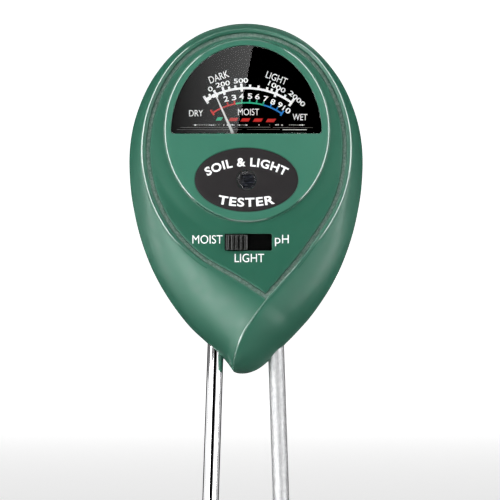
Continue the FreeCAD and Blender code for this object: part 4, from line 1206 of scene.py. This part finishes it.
for s, p, r, wd in (("0", (-9.94, 271.73), 27, 1.35), ("200", (-6.46, 273.1), 12, 4.0), ("500", (-1.42, 274.04), 4, 4.0),
                    ("1000", (8.61, 272.29), -27, 5.2), ("2000", (14.18, 269.03), -42, 5.6)):
    glyphs(pr, s, 1.35, p, r, width=wd, bold=0.035)
for s, p, r in (("2", (-5.57, 268.97), 12), ("3", (-3.37, 269.36), 8), ("4", (-1.28, 269.64), 4), ("5", (1.09, 269.73), 0),
                ("6", (3.2, 269.59), -6), ("7", (5.49, 268.97), -12), ("8", (7.49, 268.14), -20), ("9", (9.47, 267.27), -26)):
    glyphs(pr, s, 1.55, p, r, width=1.32, bold=0.045)
glyphs(pr, "10", 1.55, (11.31, 265.94), -34, width=2.3, bold=0.045)
# moisture scale
arc_band(pr, 17.2, 0.44, -33.5, -10.4, mat=1)
arc_band(pr, 17.2, 0.44, -10.4, 15.8, mat=2)
arc_band(pr, 17.2, 0.44, 15.8, 34.5, mat=3)
for a, k in ((-24.5, 1), (-17.5, 1), (-11.2, 1), (-4.5, 2), (2.6, 2), (8.9, 2), (15.2, 2), (22.2, 3), (28.4, 3)):
    tick(pr, 17.2, 18.15, a, 0.38, mat=k)
tick(pr, 16.5, 18.2, -33.5, 0.5, mat=1)
tick(pr, 16.5, 18.2, 34.5, 0.5, mat=3)
# acidity marks
for i, (x, z) in enumerate(((-7.41, 263.4), (-3.54, 263.24), (-0.17, 263.12), (3.31, 263.07), (6.93, 262.96))):
    hw2, hh2, sh = (0.75 if i == 0 else 1.15), 0.46, 0.28
    prism(pr, [(x - hw2 - sh, z - hh2), (x + hw2 - sh, z - hh2), (x + hw2 + sh, z + hh2), (x - hw2 + sh, z + hh2)], H0, H1, 2 if i == 0 else 1)
# fine rules and unreadable small marks along the foot of the dial
gen = np.random.default_rng(11)
x = -14.8
while x < 16.4:
    wd = 0.18 + 0.42 * gen.random()
    if gen.random() < 0.72 and not (4.5 < x < 5.5):
        zz = 261.72 + 0.10 * (gen.random() - 0.5)
        hh = 0.10 + 0.10 * gen.random()
        if abs(x - 1.5) > 1.6:
            prism(pr, [(x, zz - hh), (x + wd, zz - hh), (x + wd, zz + hh), (x, zz + hh)], H0, H1, 4 if gen.random() < 0.6 else 0)
    x += wd + 0.16
for xa, xb, zz, hh, mt in ((-18.4, -3.0, 261.02, 0.045, 4), (-2.2, 6.8, 261.08, 0.05, 4), (7.5, 18.6, 260.98, 0.05, 4),
                           (-19.3, -1.0, 260.42, 0.05, 4), (0.2, 9.4, 260.46, 0.05, 4), (10.2, 16.9, 260.40, 0.09, 0)):
    prism(pr, [(xa, zz - hh), (xb, zz - hh), (xb, zz + hh), (xa, zz + hh)], H0, H1, mt)
dial_pr = pr.object("dial_print", ["print_white", "print_red", "print_green", "print_blue", "print_grey"], weld=1e-9)
for p in dial_pr.data.polygons:
    p.use_smooth = False
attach(dial_pr, "case")

# marks beside the switch, printed on the panel
sp = Build()


def on_panel(x, z):
    return panel_h(np.asarray(x), np.asarray(z)) + 0.016


glyphs(sp, "MOIST", 2.35, (-10.70, 229.85), 0, h=on_panel, thick=0.024, width=8.4, bold=-0.004)
glyphs(sp, "p", 2.4, (8.80, 229.10), 0, h=on_panel, thick=0.024, width=1.55, bold=-0.004)
glyphs(sp, "H", 2.35, (10.95, 229.95), 0, h=on_panel, thick=0.024, width=1.85, bold=-0.004)
glyphs(sp, "LIGHT", 2.35, (0.95, 224.69), 0, h=on_panel, thick=0.024, width=8.2, bold=-0.004)
sw_pr = sp.object("switch_print", ["print_white"], weld=1e-9)
for p in sw_pr.data.polygons:
    p.use_smooth = False
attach(sw_pr, "case")

bp = Build()


def on_badge(x, z):
    return badge_h(np.asarray(x), np.asarray(z)) + 0.020


glyphs(bp, "SOIL & LIGHT", 2.45, (0.1, 251.35), 0, h=on_badge, thick=0.036, width=23.6, bold=0.10, bend=(23.5, True), space=1.1)
glyphs(bp, "TESTER", 2.5, (0.05, 240.15), 0, h=on_badge, thick=0.036, width=15.6, bold=0.10, bend=(36.0, False), space=1.1)
bd_pr = bp.object("badge_print", ["print_white"], weld=1e-9)
for p in bd_pr.data.polygons:
    p.use_smooth = False
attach(bd_pr, "case")

# ------------------------------------------------------------------ camera, light, floor
bpy.context.scene.view_settings.view_transform = "Standard"
cam_d = bpy.data.cameras.new("camera")
cam = bpy.data.objects.new("camera", cam_d)
bpy.context.scene.collection.objects.link(cam)
LENS = 600.0
WIDTH = 139.25
DIST = WIDTH * LENS / 36.0
cam_d.lens = LENS
cam_d.sensor_width = 36.0
cam_d.clip_end = 100
cam.location = (1.11 * MM, -(DIST + 6.0) * MM, 226.9 * MM)
cam.rotation_euler = (math.pi / 2, 0, 0)
bpy.context.scene.camera = cam


def area_light(name, loc, target, size, power, color=(1, 1, 1), gloss=True, diffuse=True):
    d = bpy.data.lights.new(name, "AREA")
    d.shape = "RECTANGLE"
    d.size, d.size_y = size
    d.energy = power
    d.color = color
    o = bpy.data.objects.new(name, d)
    o.location = loc
    o.visible_glossy = gloss
    o.visible_diffuse = diffuse
    v = Vector(target) - Vector(loc)
    o.rotation_euler = v.to_track_quat("-Z", "Y").to_euler()
    bpy.context.scene.collection.objects.link(o)
    return o


C = (0, 0, 0.24)
area_light("side_left", (-0.62, -0.37, 0.34), C, (0.30, 0.80), 4.0, gloss=False)
area_light("side_left_gloss", (-0.66, -0.32, 0.34), C, (0.30, 0.80), 1.7, diffuse=False)
area_light("side_right", (0.65, -0.38, 0.26), C, (0.28, 0.80), 3.2, gloss=False)
area_light("side_right_gloss", (0.67, -0.33, 0.26), C, (0.28, 0.80), 1.3, diffuse=False)
area_light("rear_fill", (0.25, 0.90, 0.62), C, (0.70, 0.50), 4.0, gloss=False)
area_light("top_front", (-0.10, -0.55, 0.86), C, (0.60, 0.40), 3.2)

w = bpy.data.worlds.new("studio")
bpy.context.scene.world = w
w.use_nodes = True
bg = w.node_tree.nodes["Background"]
bg.inputs[0].default_value = (1, 1, 1, 1)
bg.inputs[1].default_value = 0.20


def stage_plane(name, verts, col, emit=0.0, hidden=False):
    me = bpy.data.meshes.new(name)
    me.from_pydata(verts, [], [(0, 1, 2, 3)])
    o = bpy.data.objects.new(name, me)
    mt = bpy.data.materials.new(name)
    mt.use_nodes = True
    b = mt.node_tree.nodes["Principled BSDF"]
    b.inputs["Base Color"].default_value = (*col, 1)
    b.inputs["Roughness"].default_value = 0.9
    b.inputs["Specular IOR Level"].default_value = 0.0 if hidden else 0.5
    b.inputs["Emission Color"].default_value = (1, 1, 1, 1)
    b.inputs["Emission Strength"].default_value = emit
    me.materials.append(mt)
    bpy.context.scene.collection.objects.link(o)
    if hidden:
        o.visible_camera = False
        o.visible_diffuse = False
        o.visible_shadow = False
        o.visible_transmission = False
    return o


BACK = 9.0
stage_plane("floor", [(-9, -20, 0), (9, -20, 0), (9, BACK, 0), (-9, BACK, 0)], (0.86, 0.86, 0.86), 0.55).visible_diffuse = False
bpy.data.objects["floor"].visible_glossy = False
stage_plane("backdrop", [(-2.2, BACK, 0), (2.2, BACK, 0), (2.2, BACK, 3.2), (-2.2, BACK, 3.2)], (0.92, 0.92, 0.92), 1.0)

# pale walls that only the camera sees, for views from the side and the back
for name, vs in (("wall_left", [(-9, -20, 0), (-9, BACK, 0), (-9, BACK, 9), (-9, -20, 9)]),
                 ("wall_right", [(9, -20, 0), (9, BACK, 0), (9, BACK, 9), (9, -20, 9)]),
                 ("wall_front", [(-9, -20, 0), (9, -20, 0), (9, -20, 9), (-9, -20, 9)])):
    o = stage_plane(name, vs, (0.0, 0.0, 0.0), 0.92)
    o.visible_diffuse = False
    o.visible_glossy = False
    o.visible_transmission = False
    o.visible_shadow = False


def card_plane(name, az0, az1, dist, z0, z1, emit):
    """upright card seen from the rods between two bearings from the camera's side, at a distance"""
    a0, a1 = math.radians(az0), math.radians(az1)
    p0 = (dist * math.sin(a0), -dist * math.cos(a0))
    p1 = (dist * math.sin(a1), -dist * math.cos(a1))
    return stage_plane(name, [(p0[0], p0[1], z0), (p1[0], p1[1], z0), (p1[0], p1[1], z1), (p0[0], p0[1], z1)], (0.0, 0.0, 0.0), emit, True)


card_plane("flag_front", -17, 17, 1.2, 0.0, 1.0, 0.0).visible_transmission = True
card_plane("flag_rear_left", -128, -160, 0.9, 0.0, 0.9, 0.0)
card_plane("flag_rear_right", 128, 160, 0.9, 0.0, 0.9, 0.0)
card_plane("bounce_left", -20, -75, 0.55, 0.0, 0.20, 1.1)
card_plane("bounce_left_rear", -76, -118, 0.55, 0.0, 0.20, 1.0)
card_plane("bounce_right", 20, 75, 0.55, 0.0, 0.20, 0.70)
card_plane("bounce_right_rear", 76, 118, 0.55, 0.0, 0.20, 0.60)



def ring_card(name, phi0, phi1, tilt0, tilt1, dist, emit):
    """strip on a cone round the viewing axis: it lights the narrow facets of the rim from the side"""
    n = 24
    V, F = [], []
    for k in range(n + 1):
        p = math.radians(phi0 + (phi1 - phi0) * k / n)
        for tl in (tilt0, tilt1):
            tr = math.radians(tl)
            V.append((dist * math.sin(tr) * math.cos(p), -dist * math.cos(tr), 0.248 + dist * math.sin(tr) * math.sin(p)))
    for k in range(n):
        F.append((2 * k, 2 * k + 1, 2 * k + 3, 2 * k + 2))
    o = stage_plane(name, [(0, 0, 0), (0.001, 0, 0), (0.001, 0.001, 0), (0, 0.001, 0)], (0, 0, 0), emit, True)
    me = bpy.data.meshes.new(name + "_m")
    me.from_pydata(V, [], F)
    me.materials.append(o.data.materials[0])
    o.data = me
    return o


ring_card("strip_left", 124, 224, 61, 69, 0.27, 15.0)
ring_card("strip_right", -44, 62, 61, 69, 0.27, 13.0)
ring_card("haze_right", -8, 42, 12, 26, 0.27, 3.6)
ring_card("haze_left", 150, 196, 14, 28, 0.27, 2.4)
ring_card("lobe_left", 200, 224, 32, 50, 0.27, 9.0)
ring_card("lobe_left_low", 224, 247, 30, 52, 0.27, 14.5)
ring_card("lobe_right", -42, -4, 34, 52, 0.27, 4.0)
ring_card("lobe_right_low", -60, -42, 34, 52, 0.27, 1.6)
ring_card("strip_top", 74, 106, 61, 69, 0.27, 2.0)
ring_card("strip_low", 254, 286, 61, 69, 0.27, 4.5)

# soft card that gives the window its sheen: seen only by mirror reflection
CARD_D = 0.30
kk = CARD_D * 1000 / DIST


def card_pt(x, z):
    return ((x + (x - 1.11) * kk) * MM, -CARD_D, (z + (z - 226.9) * kk) * MM)


tx, bx = 1.67 + 0.17 * 2.0, -2.5
top_b = (bx + (tx - bx) * 1.12, 286.6)
low_b = (bx - 0.35, 257.4)
cm = bpy.data.meshes.new("sheen_card")
cm.from_pydata([card_pt(-24, 257.4), card_pt(*low_b), card_pt(*top_b), card_pt(-24, 286.6)], [], [(0, 1, 2, 3)])
card = bpy.data.objects.new("sheen_card", cm)
bpy.context.scene.collection.objects.link(card)
mt = bpy.data.materials.new("sheen_card")
mt.use_nodes = True
nt = mt.node_tree
for n in list(nt.nodes):
    nt.nodes.remove(n)
out = nt.nodes.new("ShaderNodeOutputMaterial")
em = nt.nodes.new("ShaderNodeEmission")
tc = nt.nodes.new("ShaderNodeTexCoord")
sx = nt.nodes.new("ShaderNodeSeparateXYZ")
nt.links.new(tc.outputs["Object"], sx.inputs[0])
mr = nt.nodes.new("ShaderNodeMapRange")
mr.inputs["From Min"].default_value = -0.024
mr.inputs["From Max"].default_value = 0.001
mr.inputs["To Min"].default_value = 0.25
mr.inputs["To Max"].default_value = 2.3
nt.links.new(sx.outputs["X"], mr.inputs["Value"])
nt.links.new(mr.outputs[0], em.inputs["Strength"])
nt.links.new(em.outputs[0], out.inputs[0])
cm.materials.append(mt)
card.visible_camera = False
card.visible_diffuse = False
card.visible_shadow = False
card.visible_transmission = False
